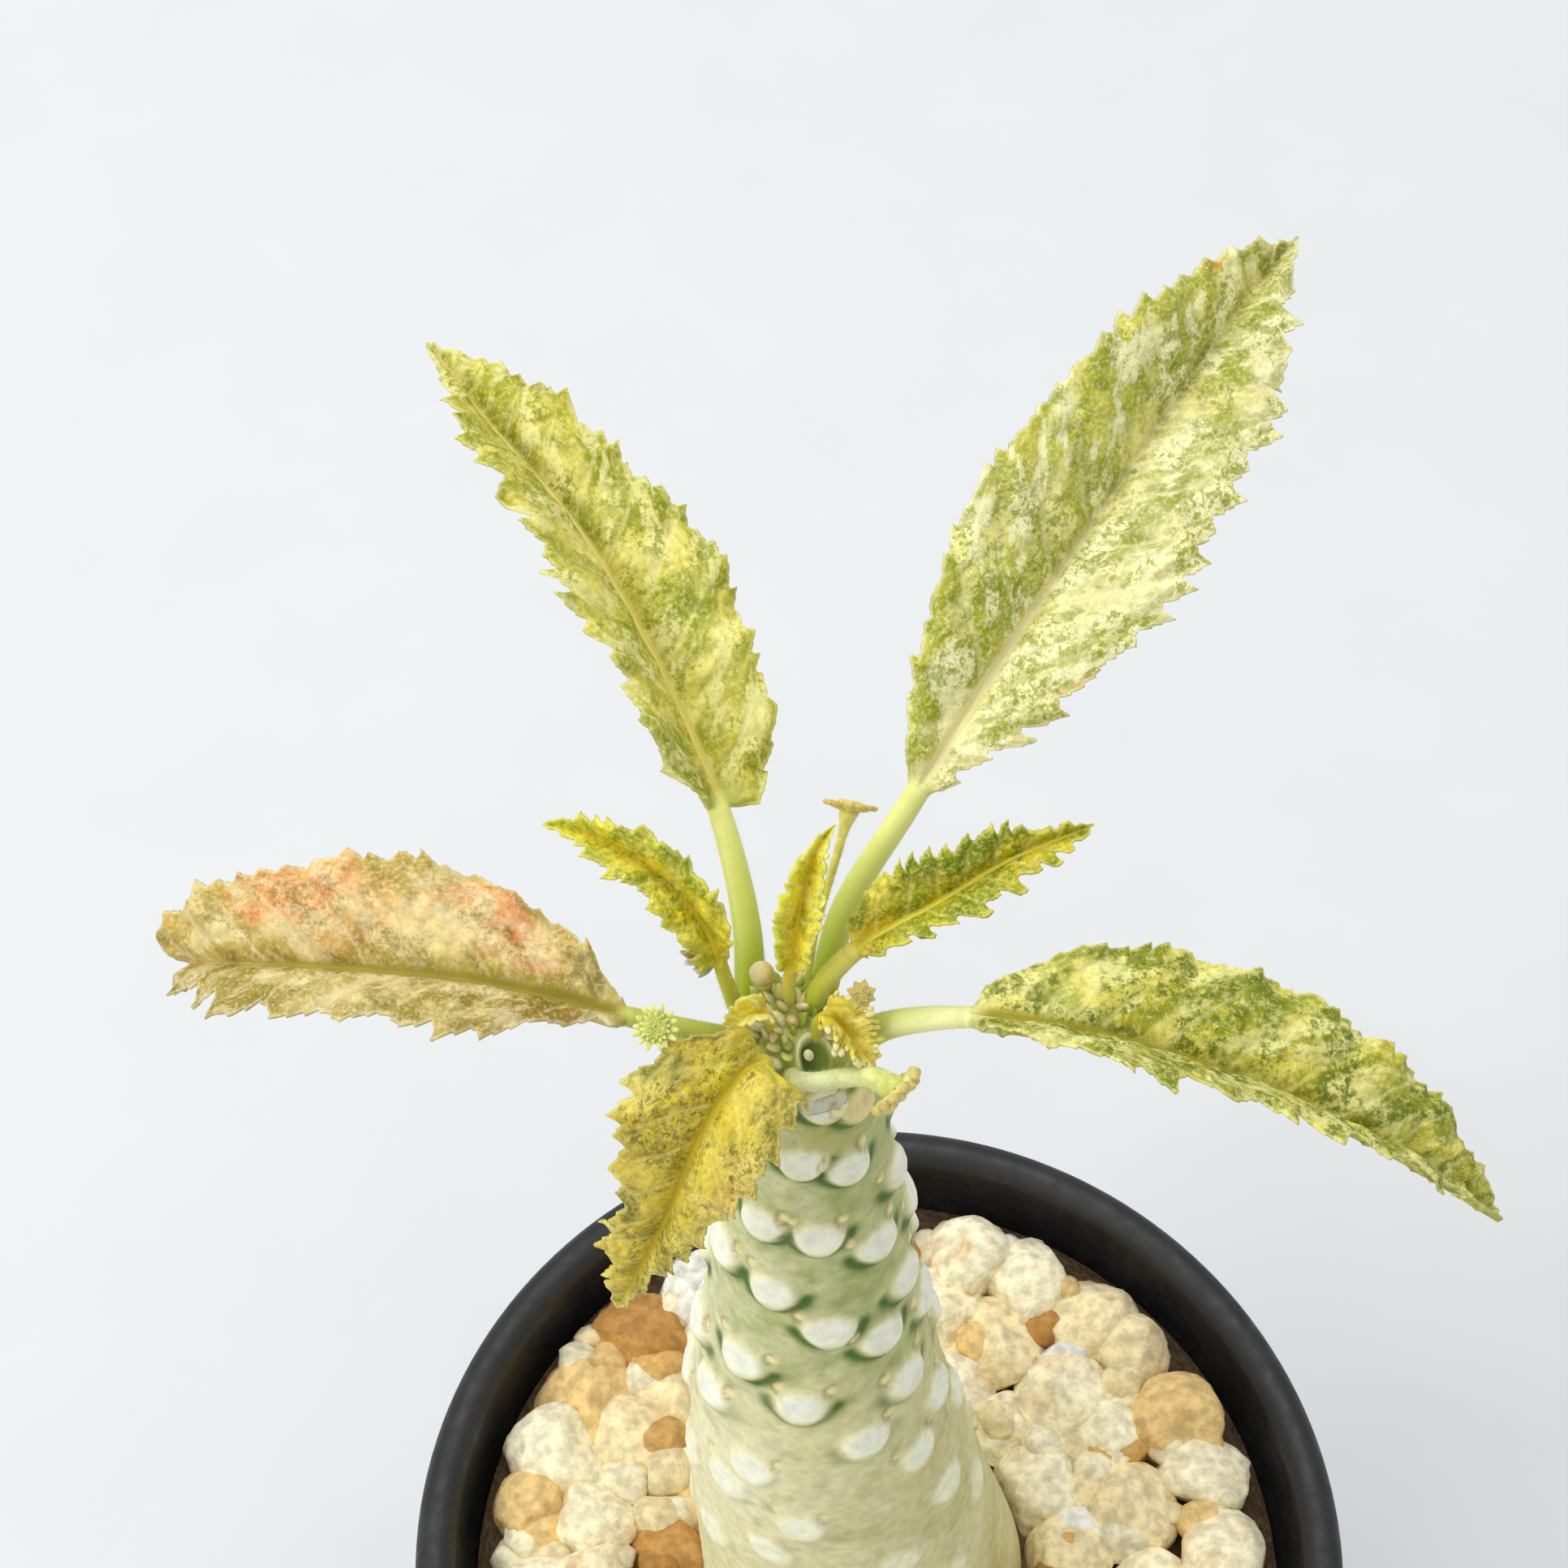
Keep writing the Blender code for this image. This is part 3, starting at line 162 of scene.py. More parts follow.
# How each leaf is finished. cells: rows of skin across each face (top, underside) and rows in
# half a tooth. vein: spacing of the side veins. pucker: height of the bulges between them.
# teeth: count, depth and shape (0 saw, 1 scallop, 2 finger) of the left and the right margin.
# tones: colour of the left and the right half. zones: patches at a share of the length and of
# the half width, with their reach in both, a colour and a strength. Colours are 0 to 255.
FINISH = {
    "leaf_back_left": dict(
        lush=(1.00, 0.93, 0.48),
        cells=(84, 20, 336), teeth=((17, 1.45, 0), (27, 0.70, 0)),
        ruffle=0.28, vein=4.2, pucker=0.24, tones=((212, 206, 112), (204, 201, 100)),
        rib=(238, 234, 182), rib_width=0.38, rib_fade=(0.9, 1.2),
        stalk=((172, 184, 54), (222, 222, 130)), dark=(132, 146, 20),
        pale=(244, 240, 186), speckle=0.8, blotch=0.65, cream=0.70, slot="leaf_lime",
        zones=[(0.56, 0.75, 0.11, 0.32, (142, 146, 40), 0.85),
               (0.28, 0.55, 0.10, 0.36, (246, 242, 184), 0.9),
               (0.52, 0.18, 0.10, 0.2, (228, 223, 160), 0.7),
               (0.40, -0.6, 0.07, 0.4, (240, 235, 140), 0.8),
               (0.06, -0.75, 0.07, 0.35, (136, 150, 58), 0.8),
               (0.82, -0.35, 0.04, 0.25, (140, 142, 64), 0.8),
               (0.79, 0.92, 0.03, 0.15, (120, 124, 62), 0.9),
               (0.99, 0.0, 0.05, 1.2, (158, 152, 104), 0.9)]),
    "leaf_back_right": dict(
        lush=(0.98, 0.92, 0.58),
        notch=(0.75, 1.9, 0.014), cells=(90, 20, 356), teeth=((24, 0.75, 0), (18, 1.5, 0)),
        # The left half's olive and the right half's bright cream are partly variegation, partly painted light
        # and shade of the fold.
        ruffle=0.26, vein=4.4, pucker=0.26, tones=((206, 206, 100), (240, 236, 216)),
        rib=(240, 238, 224), rib_width=0.50, rib_fade=(0.12, 0.75),
        stalk=((170, 182, 50), (222, 222, 134)), dark=(136, 150, 20),
        pale=(250, 248, 214), speckle=0.8, blotch=0.70, cream=0.85, slot="leaf_lime",
        zones=[(0.16, -0.45, 0.07, 0.3, (158, 160, 44), 0.9),
               (0.30, -0.2, 0.05, 0.16, (150, 156, 60), 0.75),
               (0.24, -0.7, 0.06, 0.2, (176, 178, 66), 0.7),
               (0.40, -0.5, 0.09, 0.45, (222, 217, 138), 0.6),
               (0.22, 0.97, 0.06, 0.12, (206, 158, 92), 0.8),
               (0.60, 0.5, 0.10, 0.35, (178, 190, 128), 0.6),
               (0.72, 0.35, 0.07, 0.4, (206, 202, 104), 0.7),
               (0.87, 0.0, 0.06, 1.0, (190, 184, 92), 0.6),
               (0.86, -0.95, 0.02, 0.2, (226, 160, 84), 0.8),
               (0.95, -0.5, 0.05, 0.8, (124, 120, 66), 0.9)]),
    "leaf_right": dict(
        lush=(0.98, 0.91, 0.42),
        cells=(84, 20, 336), teeth=((30, 0.55, 0), (11, 2.0, 0)),
        ruffle=0.22, vein=4.4, pucker=0.28, tones=((196, 194, 92), (186, 184, 94)),
        rib=(196, 192, 110), rib_width=0.50, rib_fade=(0.6, 1.1),
        stalk=((176, 184, 66), (230, 228, 160)), dark=(104, 122, 24),
        pale=(246, 244, 190), speckle=0.8, blotch=0.90, cream=0.70, slot="leaf_lime",
        zones=[(0.06, -0.6, 0.09, 0.7, (242, 240, 196), 0.9),
               (0.13, -0.25, 0.05, 0.2, (160, 182, 130), 0.7),
               (0.22, -0.9, 0.08, 0.3, (140, 146, 50), 0.8),
               (0.33, -0.55, 0.06, 0.35, (146, 146, 38), 0.6),
               (0.50, -0.5, 0.06, 0.35, (228, 222, 126), 0.7),
               (0.74, -0.6, 0.06, 0.4, (158, 170, 92), 0.8),
               (0.82, -0.5, 0.06, 0.4, (224, 218, 126), 0.7),
               (0.40, 0.5, 0.2, 0.6, (172, 168, 76), 0.5),
               (0.85, 0.8, 0.05, 0.5, (128, 132, 76), 0.8)]),
    "leaf_left": dict(
        lush=(0.90, 0.84, 0.54),
        cells=(84, 20, 336), teeth=((12, 1.8, 0), (23, 0.75, 0)),
        ruffle=0.26, vein=4.0, pucker=0.30, tones=((170, 156, 78), (208, 184, 110)),
        rib=(190, 182, 96), rib_width=0.55, rib_fade=(0.5, 1.0),
        stalk=((186, 196, 92), (196, 196, 100)), dark=(136, 122, 44),
        pale=(250, 238, 204), speckle=0.5, blotch=0.35, cream=0.45, slot="leaf_salmon",
        zones=[(0.24, 0.62, 0.15, 0.36, (255, 160, 118), 0.95),
               (0.14, 0.85, 0.05, 0.3, (238, 190, 124), 0.8),
               (0.36, 0.40, 0.10, 0.30, (250, 236, 196), 0.9),
               (0.48, 0.45, 0.10, 0.4, (250, 200, 156), 0.8),
               (0.60, 0.75, 0.12, 0.35, (254, 168, 122), 0.9),
               (0.06, 0.5, 0.08, 0.8, (226, 216, 150), 0.8),
               (0.85, 0.45, 0.13, 0.7, (206, 180, 98), 0.75),
               (0.76, 0.35, 0.08, 0.3, (200, 192, 112), 0.6),
               (0.30, 0.08, 0.25, 0.12, (196, 188, 92), 0.7),
               (0.50, -0.5, 0.07, 0.5, (214, 204, 148), 0.7),
               (0.16, -0.7, 0.09, 0.4, (168, 136, 66), 0.7),
               (0.97, -0.1, 0.04, 0.6, (238, 208, 170), 0.8)]),
    "leaf_front": dict(
        lush=(0.98, 1.00, 0.70),
        cells=(78, 18, 300), teeth=((17, 0.95, 0), (14, 1.35, 0)),
        ruffle=0.24, vein=3.2, pucker=0.22, tones=((186, 168, 80), (214, 188, 76)),
        rib=(206, 184, 60), rib_width=0.30, rib_fade=(0.7, 1.1),
        stalk=((196, 190, 80), (212, 200, 70)), dark=(104, 98, 46),
        pale=(246, 226, 140), speckle=0.75, blotch=0.35, cream=0.20, heart=((232, 206, 40), 0.55),
        slot="leaf_golden",
        zones=[(0.17, 0.8, 0.06, 0.3, (112, 116, 52), 0.9),
               (0.08, 0.3, 0.06, 0.4, (196, 196, 40), 0.7),
               (0.05, -0.4, 0.08, 0.6, (166, 152, 66), 0.6),
               (0.30, -0.8, 0.10, 0.3, (222, 184, 110), 0.7),
               (0.62, -0.7, 0.07, 0.4, (150, 140, 70), 0.7),
               (0.80, -0.5, 0.07, 0.7, (166, 164, 76), 0.7),
               (0.95, 0.0, 0.06, 1.0, (178, 172, 76), 0.8)]),
    "leaf_young_left": dict(
        lush=(1.14, 1.10, 0.30),
        cells=(60, 16, 250), teeth=((13, 0.75, 0), (17, 0.55, 0)),
        ruffle=0.40, vein=2.0, pucker=0.22, tones=((214, 196, 48), (196, 190, 44)),
        rib=(240, 226, 130), rib_width=0.14, rib_fade=(0.1, 0.5),
        stalk=((196, 204, 96), (200, 190, 60)), dark=(104, 128, 14),
        pale=(246, 232, 166), speckle=0.6, blotch=0.65, cream=0.20, heart=((238, 212, 62), 0.60),
        slot="leaf_golden",
        zones=[(0.85, 0.0, 0.2, 1.2, (166, 178, 48), 0.8), (0.2, -0.8, 0.16, 0.3, (240, 226, 140), 0.7),
               (0.12, 0.7, 0.12, 0.5, (236, 196, 50), 0.8), (0.45, 0.75, 0.14, 0.35, (112, 136, 24), 0.85),
               (0.66, 0.6, 0.10, 0.4, (122, 142, 26), 0.8), (0.62, -0.3, 0.12, 0.5, (206, 206, 56), 0.7)]),
    "leaf_young_centre": dict(
        lush=(1.16, 1.12, 0.28),
        cells=(52, 14, 210), teeth=((13, 0.42, 0), (14, 0.5, 1)),
        ruffle=0.30, vein=1.8, pucker=0.16, tones=((204, 204, 56), (232, 210, 84)),
        rib=(240, 222, 120), rib_width=0.14, rib_fade=(0.3, 0.9),
        stalk=((206, 206, 120), (210, 186, 60)), dark=(126, 136, 20),
        pale=(248, 238, 176), speckle=0.45, blotch=0.45, cream=0.30, heart=((234, 198, 44), 0.70),
        slot="leaf_golden",
        zones=[(0.25, -0.6, 0.3, 0.4, (196, 202, 60), 0.7), (0.35, 0.85, 0.4, 0.25, (248, 238, 176), 0.8),
               (0.02, 0.0, 0.05, 1.2, (226, 224, 130), 0.8), (0.88, 0.0, 0.14, 1.2, (176, 188, 60), 0.7)]),
    "leaf_young_right": dict(
        lush=(1.06, 1.04, 0.36),
        cells=(66, 18, 270), teeth=((15, 0.95, 0), (12, 1.05, 2)),
        ruffle=0.40, vein=2.3, pucker=0.26, tones=((196, 190, 44), (204, 198, 62)),
        rib=(236, 230, 164), rib_width=0.20, rib_fade=(0.8, 1.1),
        stalk=((178, 186, 66), (206, 196, 90)), dark=(96, 118, 12),
        pale=(246, 232, 160), speckle=0.75, blotch=0.80, cream=0.20, heart=((222, 190, 42), 0.40),
        slot="leaf_golden",
        zones=[(0.08, 0.0, 0.12, 0.9, (226, 186, 44), 0.85), (0.16, -0.85, 0.14, 0.3, (244, 226, 140), 0.8),
               (0.42, -0.75, 0.10, 0.4, (96, 124, 18), 0.9), (0.60, -0.6, 0.10, 0.4, (128, 146, 20), 0.8),
               (0.30, 0.75, 0.10, 0.4, (150, 162, 44), 0.7), (0.50, 0.7, 0.12, 0.4, (108, 130, 30), 0.8),
               (0.70, 0.75, 0.06, 0.4, (224, 200, 70), 0.7), (0.9, 0.0, 0.1, 1.0, (184, 178, 60), 0.7)]),
    "leaf_crisp": dict(
        beads=True,
        lush=(0.92, 0.88, 0.26),
        cells=(52, 16, 190), teeth=((13, 0.55, 2), (13, 0.55, 2)),
        ruffle=0.45, vein=1.6, pucker=0.24, tones=((226, 208, 96), (226, 208, 96)),
        rib=(206, 182, 50), rib_width=0.30, rib_fade=(0.3, 0.9),
        stalk=((190, 192, 84), (200, 180, 50)), dark=(150, 140, 30),
        pale=(246, 236, 182), speckle=0.40, blotch=0.30, cream=0.50, slot="leaf_golden",
        zones=[(0.5, 0.0, 0.6, 0.45, (206, 182, 40), 0.85), (0.9, 0.0, 0.2, 0.6, (226, 176, 60), 0.8)]),
    "leaf_curl": dict(
        lush=(1.14, 1.14, 0.70),
        cells=(44, 14, 140), teeth=((7, 0.3, 1), (7, 0.3, 1)),
        ruffle=0.30, vein=1.6, pucker=0.14, tones=((214, 196, 62), (206, 186, 44)),
        rib=(206, 182, 50), rib_width=0.25, rib_fade=(0.3, 0.9),
        stalk=((190, 192, 84), (206, 190, 70)), dark=(150, 140, 30),
        pale=(248, 240, 190), speckle=0.35, blotch=0.30, cream=0.30, slot="leaf_golden", zones=[]),
}

BLOOMS = {
    "bloom_back": dict(path=[(-7.6, 2.3, 177.85), (-7.0, 4.0, 182.2), (-5.7, 6.4, 187.4),
                             (-4.8, 8.3, 190.4)],
                       stalk=0.38, radius=1.7, lobes=10, facing=(0.15, 0.8, 0.58), thick=0.9, kind="disc"),
    "bloom_right": dict(path=[(-4.6, 1.3, 176.4), (-4.0, 1.3, 178.0), (-3.9, 0.6, 179.2)],
                        stalk=0.32, radius=1.1, lobes=8, facing=(0.1, -0.56, 0.82), thick=0.6, kind="star"),
    "bloom_left": dict(path=[(-11.8, -2.3, 176.3), (-13.6, -3.3, 177.6), (-16.4, -3.8, 180.2),
                             (-17.9, -4.3, 182.4), (-17.7, -4.9, 184.2)],
                       stalk=0.35, radius=1.55, lobes=14, facing=(-0.12, -0.5, 0.85), thick=0.7,
                       kind="rosette"),
    "bloom_front": dict(path=[(-8.4, -4.5, 176.4), (-7.3, -5.3, 177.5), (-5.4, -5.3, 178.0),
                              (-3.2, -5.4, 178.3), (-1.7, -5.9, 177.6)],
                        stalk=0.78, radius=2.05, lobes=11, facing=(0.7, -0.57, -0.4), thick=1.0,
                        kind="beaded"),
}
BUD = dict(path=[(-10.5, 1.7, 177.6), (-10.7, 1.95, 178.9)], stalk=0.4, radius=0.88,
           centre=(-10.75, 2.0, 179.7))


# Numbers

def linear(colour):
    """A 0 to 255 display colour as linear light."""
    shade = np.asarray(colour, float) / 255.0
    return np.where(shade <= 0.04045, shade / 12.92, ((shade + 0.055) / 1.055) ** 2.4)


def step(low, high, value):
    t = np.clip((value - low) / (high - low), 0.0, 1.0)
    return t * t * (3.0 - 2.0 * t)


def hashed(cell, seed):
    """Repeatable numbers from 0 to 1 for whole-number cells."""
    mask = 0xFFFFFFFF
    h = (cell[..., 0] * 73856093) ^ (cell[..., 1] * 19349663) ^ (cell[..., 2] * 83492791)
    h = (h ^ (seed * 2654435761)) & mask
    for _ in range(2):
        h = ((h ^ (h >> 16)) * 0x45D9F3B) & mask
    return (h ^ (h >> 16)) / mask


def noise(points, seed=0):
    """Smooth value noise from -1 to 1."""
    cell = np.floor(points)
    part = points - cell
    part = part * part * (3.0 - 2.0 * part)
    cell = cell.astype(np.int64)
    total = 0.0
    for corner in itertools.product((0, 1), repeat=3):
        weight = np.prod(np.where(np.array(corner) == 1, part, 1.0 - part), axis=-1)
        total = total + weight * hashed(cell + np.array(corner), seed)
    return 2.0 * total - 1.0


def clouds(points, octaves=3, seed=0):
    total, size, height = 0.0, 1.0, 0.0
    for k in range(octaves):
        total = total + size * noise(points * 2.0**k + 7.3 * k, seed + k)
        height += size
        size *= 0.55
    return total / height


def cells(points, seed=0, flat=True):
    """Distance to the nearest and second nearest seed point, and the nearest one's number."""
    base = np.floor(points).astype(np.int64)
    first = np.full(points.shape[:-1], 9.0)
    second = first.copy()
    number = first.copy()
    spread = (-1, 0, 1)
    for shift in itertools.product(spread, spread, (0,) if flat else spread):
        cell = base + np.array(shift)
        spot = np.stack([cell[..., i] + hashed(cell, seed + 17 * (i + 1)) for i in range(3)], -1)
        if flat:
            spot[..., 2] = points[..., 2]
        gap = np.linalg.norm(points - spot, axis=-1)
        mark = hashed(cell, seed + 91)
        nearer = gap < first
        second = np.where(nearer, first, np.minimum(second, gap))
        number = np.where(nearer, mark, number)
        first = np.where(nearer, gap, first)
    return first, second, number


def unit(vector):
    return vector / np.linalg.norm(vector, axis=-1, keepdims=True)


def through(values, at, share):
    """Read a smooth curve through values, placed at the shares in at."""
    values, at, share = np.asarray(values, float), np.asarray(at, float), np.asarray(share, float)
    slopes = np.gradient(values, at, axis=0)
    i = np.clip(np.searchsorted(at, share, side="right") - 1, 0, len(at) - 2)
    span = at[i + 1] - at[i]
    t = (share - at[i]) / span
    if values.ndim == 2:
        span, t = span[..., None], t[..., None]
    return ((2 * t**3 - 3 * t**2 + 1) * values[i] + (t**3 - 2 * t**2 + t) * span * slopes[i]
            + (3 * t**2 - 2 * t**3) * values[i + 1] + (t**3 - t**2) * span * slopes[i + 1])


def path_shares(path):
    steps = np.linalg.norm(np.diff(np.asarray(path, float), axis=0), axis=1)
    return np.r_[0.0, np.cumsum(steps)] / steps.sum()


def path_length(path):
    line = through(path, path_shares(path), np.linspace(0.0, 1.0, 200))
    return float(np.linalg.norm(np.diff(line, axis=0), axis=1).sum())


def path_frame(path, at, share, heading=0.0, roll=0.0):
    """Points, tangents, sides and normals on a path; before the roll the side is square to heading."""
    share = np.asarray(share, float)
    point = through(path, at, share)
    tangent = unit(through(path, at, np.minimum(share + 0.005, 1.0))
                   - through(path, at, np.maximum(share - 0.005, 0.0)))
    level = np.array([math.sin(math.radians(heading)), -math.cos(math.radians(heading)), 0.0])
    side = unit(level - (tangent @ level)[..., None] * tangent)
    normal = np.cross(side, tangent)
    turn = np.radians(np.asarray(roll, float))[..., None] * np.ones(1)
    return (point, tangent, np.cos(turn) * side + np.sin(turn) * normal,
            np.cos(turn) * normal - np.sin(turn) * side)


def square_to(direction):
    """Two unit vectors square to a direction and to each other."""
    helper = np.array((0.31, 0.2, 0.93)) if abs(direction[2]) < 0.9 else np.array((0.9, 0.3, 0.1))
    side = unit(np.cross(direction, helper))
    return side, np.cross(direction, side)


# Meshes

def add_mesh(name, points, quads=(), tris=(), material=None, smooth=True):
    """An object riding on the pot's body, from points in millimetres."""
    points = np.asarray(points, float)
    quads = np.asarray(quads, np.int32).reshape(-1, 4)
    tris = np.asarray(tris, np.int32).reshape(-1, 3)
    mesh = bpy.data.meshes.new(name)
    mesh.vertices.add(len(points))
    mesh.vertices.foreach_set("co", (points * MM).astype(np.float32).ravel())
    corners = np.concatenate([quads.ravel(), tris.ravel()]).astype(np.int32)
    mesh.loops.add(len(corners))
    mesh.loops.foreach_set("vertex_index", corners)
    starts = np.concatenate([4 * np.arange(len(quads)), 4 * len(quads) + 3 * np.arange(len(tris))])
    mesh.polygons.add(len(starts))
    mesh.polygons.foreach_set("loop_start", starts.astype(np.int32))
    mesh.update(calc_edges=True)
    mesh.validate()
    if smooth:
        mesh.shade_smooth()
    piece = bpy.data.objects.new(name, mesh)
    bpy.context.scene.collection.objects.link(piece)
    if material is not None:
        mesh.materials.append(material)
    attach(piece, "root")
    return piece


KEYS = {"FLOAT": "value", "FLOAT_VECTOR": "vector", "FLOAT_COLOR": "color"}


def paint(piece, name, kind, values):
    layer = piece.data.attributes.new(name, kind, "POINT")
    values = np.asarray(values, np.float32)
    if kind == "FLOAT_COLOR":
        values = np.concatenate([values, np.ones((len(values), 1), np.float32)], axis=1)
    layer.data.foreach_set(KEYS[kind], np.ascontiguousarray(values).ravel())


def loft_quads(rows, size, start=0):
    """Quads of a closed tube of rings."""
    k = np.arange(size)
    n = (k + 1) % size
    row = start + size * np.arange(rows - 1)[:, None]
    return np.stack([row + k, row + n, row + size + n, row + size + k], -1).reshape(-1, 4)


def cap_tris(ring, centre, outward=True):
    ring = np.asarray(ring)
    after = np.roll(ring, -1)
    pair = (ring, after) if outward else (after, ring)
    return np.stack([pair[0], pair[1], np.full(len(ring), centre)], -1)


class Bundle:
    """Collects many small closed shapes into one mesh with a colour on every point."""

    def __init__(self):
        self.points, self.quads, self.tris, self.tints, self.count = [], [], [], [], 0

    def add(self, points, quads=(), tris=(), tint=(1.0, 1.0, 1.0)):
        points = np.asarray(points, float)
        self.points.append(points)
        if len(quads):
            self.quads.append(np.asarray(quads) + self.count)
        if len(tris):
            self.tris.append(np.asarray(tris) + self.count)
        self.tints.append(np.broadcast_to(tint, points.shape))
        self.count += len(points)

    def make(self, name, material, smooth=True):
        quads = np.concatenate(self.quads) if self.quads else ()
        tris = np.concatenate(self.tris) if self.tris else ()
        piece = add_mesh(name, np.concatenate(self.points), quads, tris, material, smooth)
        paint(piece, "tint", "FLOAT_COLOR", np.concatenate(self.tints))
        return piece


def ball(detail):
    """Points and triangles of a unit icosphere."""
    shape = bmesh.new()
    bmesh.ops.create_icosphere(shape, subdivisions=detail, radius=1.0)
    points = np.array([v.co for v in shape.verts], float)
    tris = np.array([[v.index for v in f.verts] for f in shape.faces])
    shape.free()
    return points, tris


# Materials

class Finish:
    """One material and its nodes."""

    def __init__(self, name):
        self.material = bpy.data.materials.new(name)
        self.material.use_nodes = True
        self.tree = self.material.node_tree
        self.shader = self.tree.nodes["Principled BSDF"]

    def node(self, kind, **inputs):
        made = self.tree.nodes.new(kind)
        for key, value in inputs.items():
            made.inputs[key.replace("_", " ")].default_value = value
        return made

    def link(self, source, target):
        self.tree.links.new(source, target)

    def attribute(self, name, output="Color"):
        made = self.tree.nodes.new("ShaderNodeAttribute")
        made.attribute_name = name
        return made.outputs[output]

    def scaled(self, vector, scale):
        made = self.tree.nodes.new("ShaderNodeMapping")
        made.inputs["Scale"].default_value = scale
        self.link(vector, made.inputs["Vector"])
        return made.outputs["Vector"]

    def noise(self, vector, scale, detail=3.0, rough=0.55):
        made = self.node("ShaderNodeTexNoise", Scale=scale, Detail=detail, Roughness=rough)
        self.link(vector, made.inputs["Vector"])
        return made.outputs["Fac"]

    def band(self, value, low, high, least=0.0, most=1.0):
        made = self.tree.nodes.new("ShaderNodeMapRange")
        made.interpolation_type = "SMOOTHSTEP"
        for key, number in (("From Min", low), ("From Max", high), ("To Min", least), ("To Max", most)):
            made.inputs[key].default_value = number
        self.link(value, made.inputs["Value"])
        return made.outputs["Result"]

    def times(self, first, second):
        made = self.tree.nodes.new("ShaderNodeMath")
        made.operation = "MULTIPLY"
        for socket, value in zip(made.inputs, (first, second)):
            if isinstance(value, float):
                socket.default_value = value
            else:
                self.link(value, socket)
        return made.outputs[0]

    def mix(self, amount, first, second, kind="MIX"):
        made = self.tree.nodes.new("ShaderNodeMix")
        made.data_type = "RGBA"
        made.blend_type = kind
        for socket, value in ((made.inputs[0], amount), (made.inputs[6], first), (made.inputs[7], second)):
            if isinstance(value, (int, float)):
                socket.default_value = value
            elif isinstance(value, (tuple, list, np.ndarray)):
                socket.default_value = (*[float(c) for c in value], 1.0)[:4]
            else:
                self.link(value, socket)
        return made.outputs[2]

    def bump(self, height, strength, distance):
        made = self.node("ShaderNodeBump", Strength=strength, Distance=distance * MM)
        self.link(height, made.inputs["Height"])
        self.link(made.outputs["Normal"], self.shader.inputs["Normal"])

    def set(self, **inputs):
        for key, value in inputs.items():
            self.shader.inputs[key.replace("_", " ")].default_value = value

    def colour(self, source):
        self.link(source, self.shader.inputs["Base Color"])

    def roughness(self, source):
        self.link(source, self.shader.inputs["Roughness"])


def leaf_finish(name, look):
    """Variegated leaf skin: patches from the mesh, then blotches, flecks, veins, rib and rim."""
    made = Finish(name)
    at, flow = made.attribute("leaf", "Vector"), made.attribute("flow", "Vector")
    colour = made.attribute("tint")
    lush = np.array(look["lush"])
    dark, pale = linear(look["dark"]) * lush, np.minimum(linear(look["pale"]) * lush**0.45, 0.94)
    blade = made.attribute("blade", "Fac")
    fields = made.band(made.noise(flow, 0.30, 3.0, 0.55), 0.50, 0.60, 0.0, 0.75 * look["blotch"])
    colour = made.mix(made.times(fields, blade), colour, dark * 1.25)
    creams = made.band(made.noise(made.scaled(flow, (0.85, 1.0, 1.7)), 0.50, 5.0, 0.60), 0.50, 0.58,
                       0.0, look["cream"])
    colour = made.mix(made.times(creams, blade), colour, pale)
    cluster = made.noise(at, 0.34, 2.0)
    thick_set = made.band(cluster, 0.42, 0.58, 0.25, 1.0)
    blotches = made.band(made.noise(at, 0.80, 4.0, 0.62), 0.525, 0.57, 0.0, look["blotch"])
    colour = made.mix(made.times(made.times(blotches, thick_set), blade), colour, dark)
    flecks = made.band(made.noise(at, 2.0, 5.0, 0.68), 0.515, 0.565, 0.0, look["speckle"])
    colour = made.mix(made.times(made.times(flecks, thick_set), blade), colour, dark * 1.2)
    dots = made.band(made.noise(at, 4.6, 3.0, 0.7), 0.56, 0.62, 0.0, 0.9 * look["speckle"])
    colour = made.mix(made.times(made.times(dots, thick_set), blade), colour, dark * 0.9)
    grain = made.band(made.noise(made.scaled(at, (1.0, 1.0, 2.3)), 3.0, 5.0, 0.7), 0.50, 0.60, 0.0, 0.40)
    colour = made.mix(made.times(grain, blade), colour, pale)
    colour = made.mix(made.times(made.attribute("vein", "Fac"), 0.40), colour, pale)
    stripes = made.noise(made.scaled(at, (0.25, 5.0, 1.0)), 1.6, 3.0)
    rib_tone = np.minimum(linear(look["rib"]) * lush, 0.95)
    rib_colour = made.mix(made.band(stripes, 0.35, 0.65), rib_tone * 0.86, rib_tone)
    colour = made.mix(made.attribute("rib", "Fac"), colour, rib_colour)
    colour = made.mix(made.times(made.attribute("rim", "Fac"), 0.40), colour, pale)
    made.colour(colour)
    made.roughness(made.band(made.noise(at, 3.0, 2.0), 0.3, 0.7, 0.45, 0.65))
    made.bump(made.noise(at, 6.0, 4.0), 0.5, 0.08)
    made.set(Specular_IOR_Level=0.22, Subsurface_Weight=0.12, Subsurface_Scale=0.6 * MM)
    made.shader.inputs["Subsurface Radius"].default_value = (1.0, 1.0, 0.35)
    return made.material


